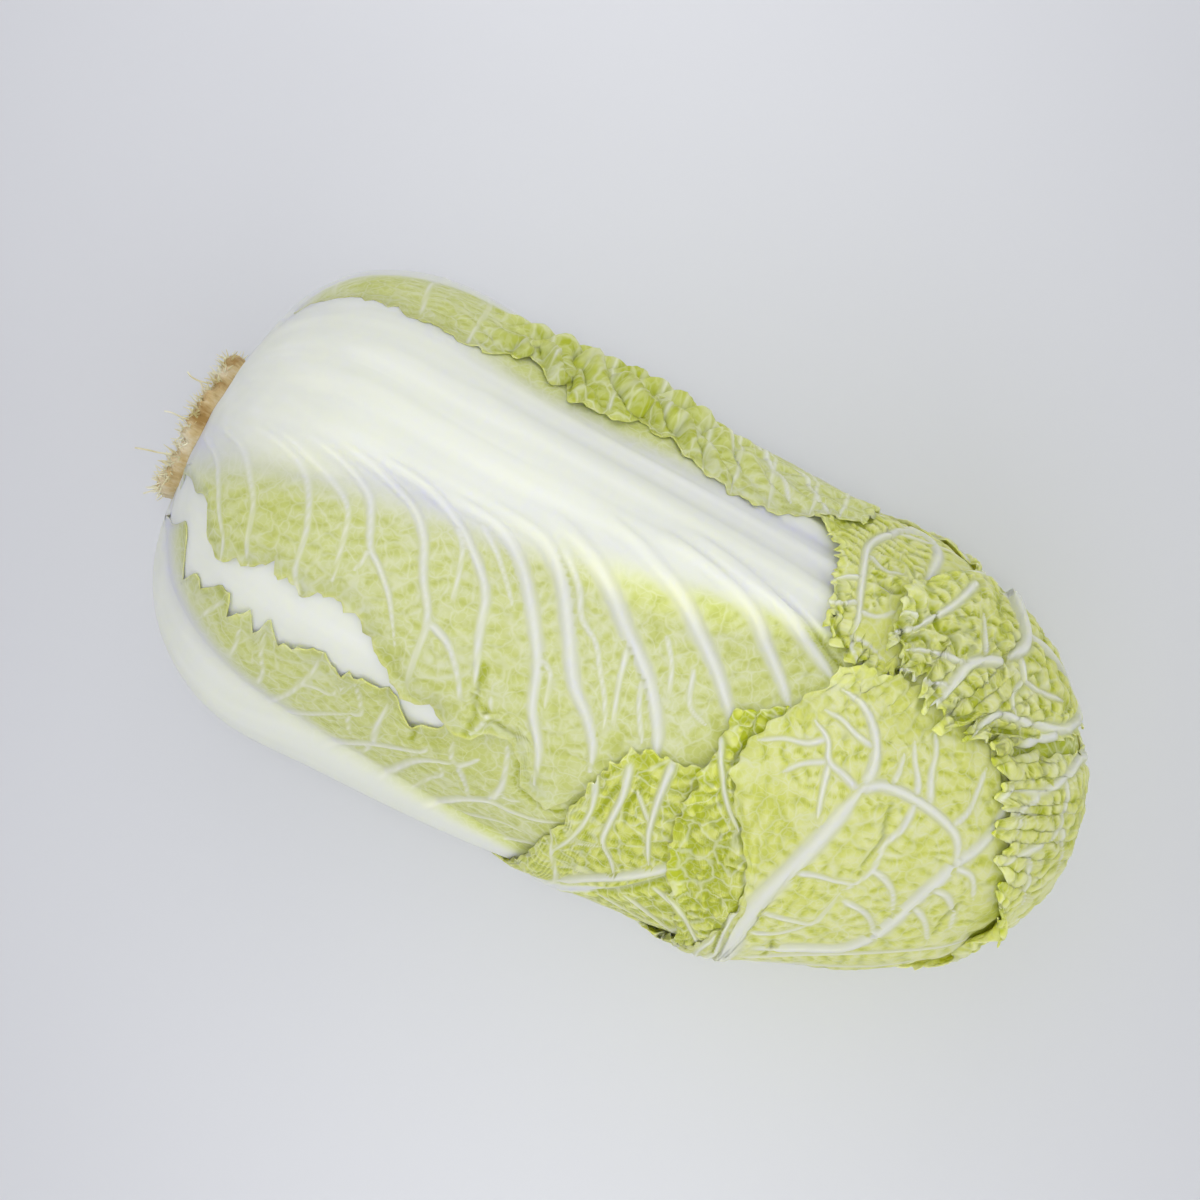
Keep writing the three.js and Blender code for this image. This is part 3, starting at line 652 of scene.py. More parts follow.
def lay_leaf(leaf, below, above):
    coarse_rows, coarse_columns, height, opening = resting(leaf, below, above)
    rows, columns = rows_of(leaf, leaf["size"][0]), columns_of(leaf, leaf["size"][1])
    t, w, chart, lift, length = chart_grid(leaf, rows, columns)
    foot, d = aim(chart)
    lying = refined(opening, coarse_rows, coarse_columns, rows, columns)
    base = eased(refined(height, coarse_rows, coarse_columns, rows, columns), 3)
    base = base + (frill(leaf, t, w) + lift) * (0.15 + 0.85 * lying)

    white = profile(leaf, "white", t)
    if "high_white" in leaf:
        white = np.where(w < 0, white, profile(leaf, "high_white", t))
    out_of_white = np.abs(w) * length / np.maximum(white, 0.1)
    has_rib = smooth(0.3, 3, white)
    data = {
        "chart": chart, "open": lying,
        "rib": (1 - smooth(0.6, 1.2, out_of_white)) * has_rib,
        "blade": 1 - (1 - smooth(0.7, 1.3, out_of_white)) * has_rib,
        "green": profile(leaf, "greens", t) if "greens" in leaf else leaf["green"] + 0 * t,
        "margin": smooth(0.97, 1, np.abs(w)),
    }
    inside = outward(foot, d, base)
    data["out"] = normals(inside)

    crest = np.clip(1 - (w / profile(leaf, "rib", t)) ** 2, 0, 1) ** 1.3
    depth = BLADE * (1 - 0.5 * smooth(0.85, 1, np.abs(w)))
    depth = depth + np.maximum(profile(leaf, "thick", t) - 1, 0) * crest
    angle = np.degrees(np.arctan2(d[..., 1], d[..., 2]))
    turns = (angle - RIDGE_START + 0.7 * np.sin(t * 7)) / RIDGE_SPACING
    ripple = 0.5 - 0.45 * np.cos(2 * np.pi * turns) - 0.05 * np.cos(5.4 * np.pi * turns + 1)
    fading = smooth(0.02, 0.2, t) * (0.45 + 0.55 * smooth(0.3, 0.65, t))
    depth = depth + leaf.get("ridges", 0) * ripple * fading * data["rib"]
    return sheet_object(leaf["name"], inside + data["out"] * depth[..., None], inside, data)


print("the skin over the leaves below is pulled tight in", TAUT_STEPS, "steps")

# %% [markdown]
# ## Veins
# On a real leaf the side veins leave the rib one after another and run on between the
# blisters of the blade. The bold ones are drawn here as curves over the table, from root
# to end, with half their width and their height; a height below zero is a crease, which the
# skin also darkens as painted shade. On the sides that face down, veins are drawn by rule,
# along the leaf's own rows. All of them go on the chart as one mesh of edges for each leaf.

# %% Bold veins of each leaf: (half-width, height, points over the table)
VEINS = {
    "leaf_upper": [
        (2.6, -1.1, [(109.5, -23), (111, -31), (113.5, -38), (114, -45)]),
        (1.6, -0.9, [(114, -33.5), (119, -36), (125, -36.8), (130, -36)]),
        (1.7, -1.2, [(174, 38.5), (186, 35), (197, 29.5), (205, 27)]),
        (1.0, 0.6, [(151, 11), (156, 4), (159.5, -5)]),
        (1.0, 0.6, [(162, 6), (166, -4), (173, -7)]),
        (1.0, 0.5, [(115.5, -30), (116.8, -37), (115, -43)]),
        (1.7, 0.5, [(3, -2), (10, -6), (15, -12), (20, -20), (25, -27), (27, -33)]),
        (1.7, 0.5, [(8, 2), (16, 0), (24, -8), (29, -15), (32, -24), (36, -31)]),
        (1.8, 0.6, [(18, 8), (32, 5), (40, -1), (46, -12), (49, -24), (54, -31)]),
        (1.7, 0.6, [(26, 10), (40, 6), (50, 2), (55, -3), (58, -13), (60, -22)]),
        (2.0, 0.9, [(34, 13), (48, 10), (57, 6), (61, 0), (65, -8), (70, -12), (77, -19),
                    (85, -31)]),
        (1.0, 0.5, [(64.5, -8), (65, -12), (64, -16)]),
        (2.3, 1.0, [(44, 15), (58, 13), (70, 9), (77, 2), (82, -8), (89, -19), (91, -32),
                    (93, -42)]),
        (1.6, 0.9, [(89, -19), (97, -22), (104, -29), (109, -37)]),
        (1.4, 0.6, [(84, 10), (88, 5), (91, -4), (93, -12)]),
        (2.6, 1.1, [(56, 17), (70, 16), (82, 12), (93, 4), (100, -4), (104, -16),
                    (108, -25), (111, -31)]),
        (1.5, 0.6, [(90, 14), (97, 9), (103, 3), (109, -4)]),
        (3.2, 1.3, [(80, 17), (95, 15.5), (105, 9), (114, -2), (122, -14), (127, -27),
                    (134, -37), (138, -48)]),
        (1.0, 0.6, [(121, -12), (127, -16), (130, -25)]),
        (3.7, 1.5, [(92, 20), (107, 18.5), (117, 11), (124, 1), (130, -9), (135, -16),
                    (141, -21), (147, -28), (150, -36)]),
        (1.4, 0.8, [(114, 19), (122, 12), (127, 4), (134, -1), (139, -8), (144, -15),
                    (149, -25)]),
        (4.2, 1.6, [(108, 26), (121, 21), (131, 15), (140, 7), (150, -1), (157, -9),
                    (162, -17), (165, -26)]),
        (1.4, 0.7, [(136, 11), (142, 4), (145, -8), (150, -22)]),
        (1.1, 0.6, [(150, -2), (153, -11), (159, -21)]),
        (4.2, 1.6, [(120, 32), (136, 28.5), (148, 24), (158, 17), (167, 10), (175, 2),
                    (182, -5)]),
        (4.0, 1.5, [(138, 36), (156, 33), (169, 29.5), (177, 23), (185, 16), (192, 9)]),
        (4.4, 1.5, [(144, 40), (164, 37.5), (178, 34), (189, 29), (200, 23)]),
    ],
    "leaf_front": [
        # A crease along the lobe of leaf_upper that lies over it: painted shade under that edge.
        (1.8, -1.0, [(131, -44), (133, -51), (139, -54.5), (146, -55), (150.5, -50), (153, -43)]),
        (1.5, -0.9, [(100, -51), (100.5, -54), (101, -57)]),
        (1.5, 0.7, [(58, -71), (61.5, -65.4), (64.6, -57.7), (66.5, -50), (67, -44)]),
        (1.2, 0.5, [(65.8, -56.5), (70, -55.5), (73.8, -55.4), (76.2, -50.8)]),
        (1.8, 0.8, [(64, -71.5), (70, -68), (75, -63.8), (81, -58.8)]),
        (1.2, 0.6, [(81, -58.8), (84, -57), (83, -53), (78.5, -45.4)]),
        (1.1, 0.5, [(81, -59), (82, -63.5), (83.5, -67.7)]),
        (2.0, 0.9, [(78, -75), (86.2, -70), (91, -66.5), (98.5, -62.3), (104.6, -58.5),
                    (106.5, -54.6)]),
        (1.5, 0.7, [(91, -66.5), (90, -59.2), (90, -52), (90.5, -46)]),
        (1.2, 0.6, [(91, -66.5), (90, -70), (88, -73.5)]),
        (2.0, 0.9, [(97, -76), (102, -67.7), (106.2, -61.5), (110.8, -58.5), (114.5, -56.4)]),
        (1.3, 0.6, [(114.5, -56.4), (112.3, -52), (112.3, -48)]),
        (1.5, 0.7, [(116, -56.2), (118.5, -53), (120.8, -49.2)]),
        (1.6, 0.7, [(116, -56.2), (119, -60), (121.5, -63.8), (122.3, -67.5)]),
        (1.1, 0.5, [(107, -75.4), (110, -68.5), (113, -63.8), (111, -59.5)]),
        (2.3, 1.0, [(112, -77), (116.2, -75), (121.5, -69.2), (128.5, -63.8), (135, -63),
                    (143, -61), (150, -57)]),
        (1.7, 0.8, [(128.5, -63.8), (129.8, -58), (129.6, -53), (127.3, -44.6), (125.4, -40.8)]),
        (1.1, 0.5, [(129.6, -57), (133, -59), (137, -57)]),
        (1.3, 0.6, [(124, -75), (130, -72), (136, -69.5), (143, -69)]),
        (1.2, 0.6, [(52, -66), (53, -60), (50, -53), (49, -46)]),
        (1.1, 0.5, [(40, -62), (41.5, -56), (41, -49)]),
        (1.0, 0.4, [(28, -52), (31, -47), (33, -44)]),
        (1.3, 0.7, [(138, -76), (145, -72), (152, -69), (158, -66)]),
    ],
    "leaf_front_lap": [
        (2.2, -1.4, [(168, -75), (175, -68), (183, -58), (190, -50), (196, -48)]),
        (1.4, -0.9, [(165, -33), (164, -40), (166, -46)]),
        (1.5, -0.9, [(188, -16), (189, -23), (194, -27)]),
        (1.4, -0.8, [(159, -36), (158, -44), (157.5, -50)]),
        (2.7, 1.4, [(158, -76), (165, -70.5), (174.4, -62), (182, -54), (186.5, -49), (190, -46),
                    (195.6, -44), (201, -38)]),
        (1.7, 0.9, [(159, -28), (161.5, -38), (162, -47), (163, -55), (168, -60), (171, -64.5)]),
        (1.8, 0.9, [(169.4, -21.5), (171, -34), (173.3, -45), (178, -55)]),
        (1.9, 1.0, [(180.5, -14), (184.5, -23), (186.7, -34), (188, -45)]),
        (1.4, 0.7, [(151, -34), (154, -41), (155.6, -48), (155, -57), (152, -67)]),
        (1.1, 0.5, [(155.5, -60), (159, -59), (163, -57)]),
        (1.1, 0.5, [(173, -43), (168, -38), (164, -34)]),
        (1.3, 0.7, [(200, -62), (198, -67), (193, -75)]),
        (1.2, 0.6, [(204, -52), (202, -60), (204, -68)]),
    ],
    "leaf_crown_lap": [
        (2.2, -1.6, [(192, -26), (197, -32), (202, -34)]),
        (1.8, -1.2, [(200, -8), (206, -11), (209, -18), (211, -26)]),
        (1.6, -1.0, [(186, -8), (190, -14), (188, -20)]),
        (1.5, 1.0, [(205, -44), (204, -34), (202, -24), (204, -14)]),
        (1.4, 0.9, [(186, -10), (192, -14), (199, -20), (203, -26)]),
        (1.2, 0.8, [(178, -8), (182, -16), (188, -24), (196, -31)]),
    ],
    "leaf_crown_front": [
        (1.7, -1.3, [(232, -1), (234, -8), (236, -13), (235, -20), (236, -26)]),
        (1.6, -1.0, [(206, -58), (207, -64), (209, -72)]),
        (1.6, -1.0, [(269, -18), (268, -25), (269, -32)]),
        (1.6, -1.0, [(224, -60), (226, -65), (225, -69)]),
        (5.6, 1.6, [(213, -78), (212, -67), (211.5, -55), (212.5, -44), (216, -30),
                    (219, -14), (221, 0)]),
        (2.4, 1.3, [(221, -4), (221, 5), (219, 11), (215, 17), (209, 21), (202, 22)]),
        (2.4, 1.3, [(220, -3), (225, 2), (232, 3.5), (240, 3.5), (247, 2.5), (254, 0),
                    (258, -5), (259, -10)]),
        (3.8, 1.6, [(222, -65), (232, -60.5), (240, -57), (248, -52), (253, -43), (255.5, -31),
                    (257, -19), (259, -8), (262, -2), (264, 5), (264, 14), (261, 22)]),
        (1.5, 0.9, [(238.5, 3), (239, -6), (237, -13), (238.5, -22), (236.5, -29),
                    (234, -33)]),
        (1.5, 0.9, [(216, -34), (223, -32), (230, -31), (237, -29)]),
        (1.5, 0.9, [(238.5, -22), (244, -23), (249, -26), (253, -32)]),
        (1.5, 0.9, [(237, -36), (245, -36.5), (250, -39), (253, -43)]),
        (1.4, 0.8, [(214, -51), (224, -50), (232, -48.5), (233.5, -42), (234, -34)]),
        (1.4, 0.8, [(216, -59), (224, -56), (231, -50)]),
        (1.5, 0.9, [(238, 4), (236, 9), (232, 14), (229, 19)]),
        (1.5, 0.9, [(243, 4), (239, 12), (237, 19), (234, 25)]),
        (1.4, 0.8, [(229, 3.5), (229, 9), (228, 14)]),
        (1.4, 0.8, [(252, 2), (254, 8), (253.5, 15), (252, 22)]),
        (1.4, 0.8, [(256, -26), (263, -29), (269, -35)]),
        (1.4, 0.8, [(257, -19), (263, -18), (269, -22), (272, -28)]),
        (1.4, 0.8, [(259, -9), (266, -9), (271, -15)]),
        (1.6, 1.0, [(220, -2), (214, 0), (208.5, 1.5), (205, 7), (199, 10)]),
        (1.4, 0.9, [(208.5, 1.5), (211.5, -8), (214, -15)]),
        (1.4, 0.8, [(205, 7), (200, 3), (193, 1), (187, -3)]),
        (1.3, 0.8, [(219, 11), (212, 12), (206, 14), (200, 14)]),
        (1.3, 0.8, [(208, 1), (202, -3), (198, -8)]),
    ],
    "leaf_crown_end": [
        (1.8, -1.4, [(266, 33), (268, 29), (272, 27)]),
        (1.6, -1.2, [(262, 12), (264, 6), (268, 0)]),
        (2.2, 1.4, [(274, 55), (279, 47), (277, 37), (274, 28), (270, 23), (262, 19)]),
        (1.5, 0.9, [(275, 31), (279, 24), (281, 17), (280, 10)]),
        (1.4, 0.9, [(270, 23), (268, 15), (270, 8)]),
        (1.4, 0.8, [(262, 20), (258, 14), (256, 7)]),
        (1.4, 0.9, [(268, 15), (262, 12), (258, 6)]),
        (1.4, 0.8, [(276, 5), (282, -2), (286, -10)]),
        (1.4, 0.8, [(280, 10), (274, 4), (270, -2)]),
        (1.4, 0.8, [(281, 17), (286, 12), (289, 4)]),
    ],
    "leaf_crown_back": [
        (2.0, -2.0, [(238, 57), (242, 55), (244, 52)]),
        (2.0, -1.8, [(216, 57), (221, 52), (226, 55)]),
        (2.0, -1.8, [(206, 49), (212, 45), (217, 48), (222, 44)]),
        (1.9, -1.7, [(233, 32), (238, 31), (241, 35)]),
        (1.9, -1.7, [(212, 38), (218, 33), (223, 30)]),
        (1.8, -1.6, [(222, 53), (226, 51), (229, 47)]),
        (1.8, -1.6, [(203, 44), (207, 40), (213, 37)]),
        (1.8, -1.6, [(210, 56), (214, 52), (212, 48)]),
        (1.8, -1.6, [(248, 33), (254, 35), (261, 37)]),
        (1.6, -1.4, [(223, 38), (228, 35), (226, 31)]),
        (3.9, 3.6, [(237, 79), (238.5, 73), (241, 67), (245, 62), (246, 58), (244, 54)]),
        (2.5, 1.8, [(246, 57), (243, 53), (237, 50), (233, 46.5), (231.5, 40), (230, 33),
                    (228, 27)]),
        (2.4, 1.8, [(244, 63.5), (250, 61), (257, 58), (265, 55), (270, 50.5), (270.5, 45.5),
                    (266, 41.5), (260, 40), (253, 39), (247, 37), (244, 31), (243, 27)]),
        (1.8, 1.3, [(268, 43), (265, 39), (260, 34.5), (257, 30)]),
        (1.7, 1.3, [(224, 68), (221, 60), (216, 53), (211, 47), (205, 42)]),
        (1.6, 1.2, [(234, 47), (227, 46), (221, 45), (214, 42)]),
        (1.5, 1.1, [(231, 39), (224, 36), (217, 35), (209, 36)]),
        (1.4, 1.1, [(216, 53), (210, 52), (205, 48)]),
        (1.5, 1.1, [(246, 57), (251, 51), (257, 49), (263, 49)]),
        (1.4, 1.0, [(251, 51), (250, 45), (253, 40)]),
        (1.4, 1.0, [(237, 50), (234, 56), (230, 62)]),
    ],
    "leaf_shoulder": [
        (2.6, 1.6, [(199, 80), (205, 79), (211, 74), (212.5, 66), (211, 58), (210, 50)]),
        (2.0, 1.3, [(206, 78), (199, 76), (193, 72), (190.5, 66), (192, 58), (194, 51),
                    (196, 44), (198, 37), (201, 31)]),
        (1.4, 1.0, [(193, 56), (188, 53), (185, 48)]),
        (1.4, 1.0, [(195, 48), (190, 44), (186, 42)]),
        (1.3, 0.9, [(192, 64), (198, 62), (204, 64)]),
        (1.3, 0.9, [(196, 45), (202, 47), (206, 52)]),
        (1.3, 0.9, [(198, 38), (204, 38), (210, 36)]),
        (1.7, -1.5, [(187, 49), (189, 45), (193, 43)]),
        (1.7, -1.5, [(198, 57), (203, 56), (206, 59)]),
        (1.6, -1.4, [(190, 38), (194, 36), (199, 33)]),
    ],
    "leaf_back": [
        (1.2, 0.6, [(112, 78), (119, 73), (128, 70)]),
        (1.4, 0.8, [(128, 78), (138, 74), (148, 68)]),
        (1.5, 0.9, [(146, 78), (156, 73), (165, 66)]),
        (1.4, 0.8, [(162, 77), (170, 72), (179, 66)]),
    ],
}

# Side veins by rule: leaf, side of the rib, first and last row, how many, half-width, height.
RULED_VEINS = [
    ("leaf_front", -1, 0.1, 0.9, 13, 1.5, 0.8),
    ("leaf_back", 1, 0.08, 0.9, 15, 1.4, 0.7),
    ("leaf_back", -1, 0.1, 0.9, 11, 1.0, 0.4),
    ("leaf_front_lap", -1, 0.1, 0.9, 12, 1.5, 0.8),
    ("leaf_front_lap", 1, 0.15, 0.5, 5, 1.3, 0.7),
    ("leaf_crown_lap", -1, 0.15, 0.95, 11, 1.4, 0.9),
    ("leaf_crown_lap", 1, 0.15, 0.6, 6, 1.4, 0.9),
    ("leaf_crown_front", -1, 0.1, 0.62, 9, 1.7, 0.9),
    ("leaf_crown_front", 1, 0.1, 0.55, 8, 1.5, 0.8),
    ("leaf_crown_end", -1, 0.2, 0.66, 9, 1.6, 1.0),
    ("leaf_crown_end", 1, 0.2, 0.8, 11, 1.6, 1.0),
    ("leaf_crown_back", -1, 0.15, 0.58, 7, 1.5, 1.0),
    ("leaf_crown_back", 1, 0.15, 0.6, 7, 1.6, 1.0),
    ("leaf_shoulder", 1, 0.2, 0.7, 7, 1.2, 0.9),
]
print(sum(len(drawn) for drawn in VEINS.values()), "veins drawn,", len(RULED_VEINS), "rules")

# %% Turn the veins into edges on the chart
VEIN_STEP = 0.5  # millimetres between the points of a drawn vein


def ruled_paths(leaf, side, first, last, count):
    generator = np.random.default_rng(leaf["seed"] * 7 + (side > 0))
    for share in np.linspace(first, last, count):
        row = share + generator.uniform(-0.012, 0.012)
        rib = through(leaf["rib"], np.array([row]))[0]
        columns = side * np.linspace(min(rib * 0.5, 0.7), 0.985, 100)
        bend = 0.012 * np.sin(np.linspace(0, generator.uniform(3, 8), 100))
        chart = chart_grid(leaf, [row], columns)[2]
        yield on_chart(chart[0] + np.stack([CAPSULE * bend, 0 * bend, 0 * bend], axis=-1))


def vein_object(leaf):
    points, edges = [], []
    values = {"half_width": [], "height": [], "arc": []}

    def add_path(path, half_width, height):
        if points:
            gaps = np.linalg.norm(path[:, None] - np.array(points)[None], axis=-1)
            inside = (gaps < 0.75 * np.array(values["half_width"])[None]).any(axis=1)
            clear = int(np.argmin(inside)) if inside[0] else 0
            path = path[clear:] if len(path) - clear > 4 else path
        start = len(points)
        share = np.linspace(0, 1, len(path))
        points.extend(path.tolist())
        edges.extend([(start + k, start + k + 1) for k in range(len(path) - 1)])
        steps = np.linalg.norm(np.diff(path, axis=0), axis=-1)
        taper = np.maximum(0.86 * half_width * (1 - 0.55 * share ** 1.2), 0.9)
        values["half_width"].extend(taper * (1 - 0.6 * smooth(0.85, 1, share)))
        values["height"].extend(height * (1 - 0.55 * share) * smooth(0, 0.12, share + 0.04))
        values["arc"].extend(start * 0.7 + np.concatenate([[0], np.cumsum(steps)]))

    for half_width, height, drawn in VEINS.get(leaf["name"], []):
        xs, ys = np.array(drawn, float).T
        length = np.hypot(np.diff(xs), np.diff(ys)).sum()
        path = through(seen(xs, ys), np.linspace(0, 1, max(int(length / VEIN_STEP), 6)))
        add_path(on_chart(path), half_width, height)
    for name, side, first, last, count, half_width, height in RULED_VEINS:
        if name == leaf["name"]:
            for path in ruled_paths(leaf, side, first, last, count):
                add_path(path, half_width, height)
    if not points:  # a leaf that is covered still needs one edge to measure from
        add_path(place(np.array([20.0, 21.0]), np.array([180.0, 180.0])), 0.1, 0.0)
    mesh = bpy.data.meshes.new(leaf["name"] + "_veins")
    mesh.from_pydata(points, edges, [])
    keep(mesh, values)
    return put(mesh.name, mesh)


print("drawn veins have a point every", VEIN_STEP, "mm")

# %% [markdown]
# ## A Geometry Nodes tree that raises veins and blisters
# Veins follow the surface, so a node tree raises them: for each point of the leaf it
# measures, on the chart, how far the nearest vein is and how wide that one is there, and
# moves the point outwards by a rounded ridge. Between the veins a Voronoi pattern raises
# the fine net, and a softer one puffs up the blisters. The same tree serves every leaf;
# only its inputs change.

# %% The net of small veins, the same for the form and for the colour
NET_CELL = 7.5  # millimetres between the small veins


def net_cells(tree, chart):
    shaken = add(tree, NOISE, {"Vector": chart, "Scale": 0.17, "Detail": 2.0})
    warped = add(tree, VECTOR, {0: shaken.outputs["Color"], 1: (6.0, 6.0, 6.0), 2: chart},
                 operation="MULTIPLY_ADD")
    return add(tree, "ShaderNodeTexVoronoi", {"Vector": warped, "Scale": 1 / NET_CELL},
               feature="DISTANCE_TO_EDGE").outputs["Distance"]


# %% Build the tree
def raise_tree():
    tree, given = new_tree("raise veins and blisters", {
        "Veins": "Object", "Skin": "Material", "Net Size": "Float", "Net Height": "Float",
        "Blister Height": "Float", "Fold Length": "Float", "Fold Height": "Float",
        "Seed": "Float"})
    chart, out = (add(tree, NAMED, {"Name": name}, data_type="FLOAT_VECTOR")
                  for name in ("chart", "out"))
    blade, lying, half, high, arc = (
        add(tree, NAMED, {"Name": name}, data_type="FLOAT")
        for name in ("blade", "open", "half_width", "height", "arc"))
    free = add(tree, MATH, {0: blade, 1: lying}, operation="MULTIPLY")

    # The nearest vein: how far, how wide, how high, and how far along it.
    veins = add(tree, "GeometryNodeObjectInfo", {"Object": given["Veins"]}).outputs["Geometry"]
    distance = add(tree, "GeometryNodeProximity", {0: veins, "Sample Position": chart},
                   target_element="EDGES").outputs["Distance"]
    nearest = add(tree, "GeometryNodeSampleNearest", {"Geometry": veins,
                                                      "Sample Position": chart})
    half, high, arc = (add(tree, "GeometryNodeSampleIndex", {
        "Geometry": veins, "Value": field, "Index": nearest}) for field in (half, high, arc))
    widths = add(tree, MATH, {0: distance, 1: half}, operation="DIVIDE")
    ridge = add(tree, RANGE, {"Value": widths, "From Min": 0.2, "To Min": 1.0, "To Max": 0.0},
                interpolation_type="SMOOTHSTEP")
    stands = add(tree, MATH, {0: high, 1: 0.0}, operation="GREATER_THAN")
    beyond = add(tree, MATH, {0: half, 1: -0.8, 2: distance}, operation="MULTIPLY_ADD")

    # Folds run away from the vein, one after another along it.
    jitter = add(tree, NOISE, {"Vector": chart, "Scale": 0.1, "Detail": 2.0,
                               "W": given["Seed"]}, noise_dimensions="4D")
    phase = add(tree, MATH, {0: jitter, 1: 9.0, 2: arc}, operation="MULTIPLY_ADD")
    phase = add(tree, MATH, {0: phase, 1: given["Fold Length"]}, operation="DIVIDE")
    phase = add(tree, MATH, {0: phase, 1: math.pi}, operation="MULTIPLY")
    swing = add(tree, MATH, {0: phase}, operation="SINE")
    dome = add(tree, MATH, {0: swing}, operation="ABSOLUTE")
    starting = add(tree, RANGE, {"Value": beyond, "From Max": 1.3},
                   interpolation_type="SMOOTHSTEP")
    ending = add(tree, RANGE, {"Value": distance, "From Min": 4.0, "From Max": 10.0,
                               "To Min": 1.0, "To Max": 0.0},
                 interpolation_type="SMOOTHSTEP")
    beside = add(tree, MATH, {0: starting, 1: ending}, operation="MULTIPLY")
    beside = add(tree, MATH, {0: beside, 1: free}, operation="MULTIPLY")

    # Blisters fill the blade further off, and a fine net lies over everything.
    cells = net_cells(tree, chart)
    net = add(tree, RANGE, {"Value": cells, "From Max": 0.14, "To Min": 1.0, "To Max": 0.0},
              interpolation_type="SMOOTHSTEP")
    scale = add(tree, MATH, {0: 1.1, 1: given["Net Size"]}, operation="DIVIDE")
    swell = add(tree, NOISE, {"Vector": chart, "Scale": scale, "Detail": 2.5,
                              "Distortion": 0.9, "W": given["Seed"]}, noise_dimensions="4D")
    swell = add(tree, MATH, {0: swell, 1: 0.5}, operation="SUBTRACT")
    swell = add(tree, MATH, {0: swell}, operation="ABSOLUTE")
    puffed = add(tree, RANGE, {"Value": swell, "From Max": 0.17, "To Max": 0.75},
                 interpolation_type="SMOOTHSTEP")
    inside = add(tree, RANGE, {"Value": cells, "From Max": 0.3, "To Max": 0.25},
                 interpolation_type="SMOOTHSTEP")
    bubble = add(tree, MATH, {0: inside, 1: puffed}, operation="ADD")
    away = add(tree, RANGE, {"Value": beyond, "From Max": 2.5},
               interpolation_type="SMOOTHSTEP")
    away = add(tree, MATH, {0: away, 1: free}, operation="MULTIPLY")
    unfolded = add(tree, MATH, {0: beside, 1: -0.6, 2: 1.0}, operation="MULTIPLY_ADD")
    away = add(tree, MATH, {0: away, 1: unfolded}, operation="MULTIPLY")

    # All the heights together, in millimetres.
    opening = add(tree, MATH, {0: lying, 1: 0.75, 2: 0.25}, operation="MULTIPLY_ADD")
    lift = add(tree, MATH, {0: ridge, 1: high}, operation="MULTIPLY")
    lift = add(tree, MATH, {0: lift, 1: opening}, operation="MULTIPLY")
    for form, where, height in ((dome, beside, "Fold Height"),
                                (bubble, away, "Blister Height"), (net, away, "Net Height")):
        form = add(tree, MATH, {0: form, 1: where}, operation="MULTIPLY")
        lift = add(tree, MATH, {0: form, 1: given[height], 2: lift}, operation="MULTIPLY_ADD")
    lift = add(tree, MATH, {0: lift, 1: 0.001}, operation="MULTIPLY")
    offset = add(tree, VECTOR, {0: out, "Scale": lift}, operation="SCALE")
    raised = add(tree, "GeometryNodeSetPosition", {
        "Geometry": given["Geometry"], "Offset": offset})

    # What the skin needs: where veins show pale, and a tone from how proud or sunken a place is,
    # which the skin paints as light on the domes and as shade in the hollows, folds and creases.
    faint = add(tree, RANGE, {"Value": high, "To Min": 0.4, "To Max": 0.0})
    pale = add(tree, MATH, {0: 2.0, 1: widths}, operation="SUBTRACT")
    pale = add(tree, MATH, {0: pale, 1: faint}, operation="SUBTRACT")
    pale = add(tree, MATH, {0: pale, 1: stands, 2: -1.0}, operation="MULTIPLY_ADD")
    pale = add(tree, MATH, {0: pale, 1: -1.0}, operation="MAXIMUM")
    relief = add(tree, MATH, {0: given["Blister Height"], 1: given["Fold Height"]},
                 operation="ADD")
    relief = add(tree, RANGE, {"Value": relief, "From Max": 1 / 0.6})
    folds = add(tree, MATH, {0: dome, 1: 0.6}, operation="SUBTRACT")
    folds = add(tree, MATH, {0: folds, 1: beside}, operation="MULTIPLY")
    # Blisters and fold crests raise the tone as painted light; the hollows between lower it as
    # painted shade.
    dome_light_hollow_shade = add(tree, MATH, {0: bubble, 1: 0.6}, operation="SUBTRACT")
    dome_light_hollow_shade = add(tree, MATH, {0: dome_light_hollow_shade, 1: away, 2: folds}, operation="MULTIPLY_ADD")
    dome_light_hollow_shade = add(tree, MATH, {0: dome_light_hollow_shade, 1: relief, 2: 0.5}, operation="MULTIPLY_ADD")
    # Sunken creases lower the tone, as painted shade.
    sinks = add(tree, MATH, {0: 1.0, 1: stands}, operation="SUBTRACT")
    crease_shade = add(tree, MATH, {0: ridge, 1: sinks}, operation="MULTIPLY")
    shaded_tone = add(tree, MATH, {0: crease_shade, 1: -0.6, 2: dome_light_hollow_shade}, operation="MULTIPLY_ADD")
    for name, value in (("vein", pale), ("swell", shaded_tone)):
        raised = add(tree, "GeometryNodeStoreNamedAttribute", {
            "Geometry": raised, "Name": name, "Value": value})
    made = add(tree, "GeometryNodeRealizeInstances", {"Geometry": raised})
    skinned = add(tree, "GeometryNodeSetMaterial", {
        "Geometry": made, "Material": given["Skin"]})
    add(tree, "NodeGroupOutput", {"Geometry": skinned})
    return tree


RAISE = raise_tree()
print("raise tree:", len(RAISE.nodes), "nodes")


# %% Run the tree on one leaf; nothing may go under the table
def raise_leaf(item, skin, leaf):
    veins = vein_object(leaf)
    heights = zip(("Net Size", "Net Height", "Blister Height", "Fold Length", "Fold Height"),
                  (*leaf["net"], *leaf.get("folds", (5, 0))))
    mesh = run_tree(RAISE, item, {"Veins": veins, "Skin": skin, "Seed": float(leaf["seed"]),
                                  **{name: float(value) for name, value in heights}})
    points = np.empty(len(mesh.vertices) * 3)
    mesh.vertices.foreach_get("co", points)
    points[2::3] = np.maximum(points[2::3], 0)
    mesh.vertices.foreach_set("co", points)
    item.data = mesh
    bpy.data.objects.remove(veins)
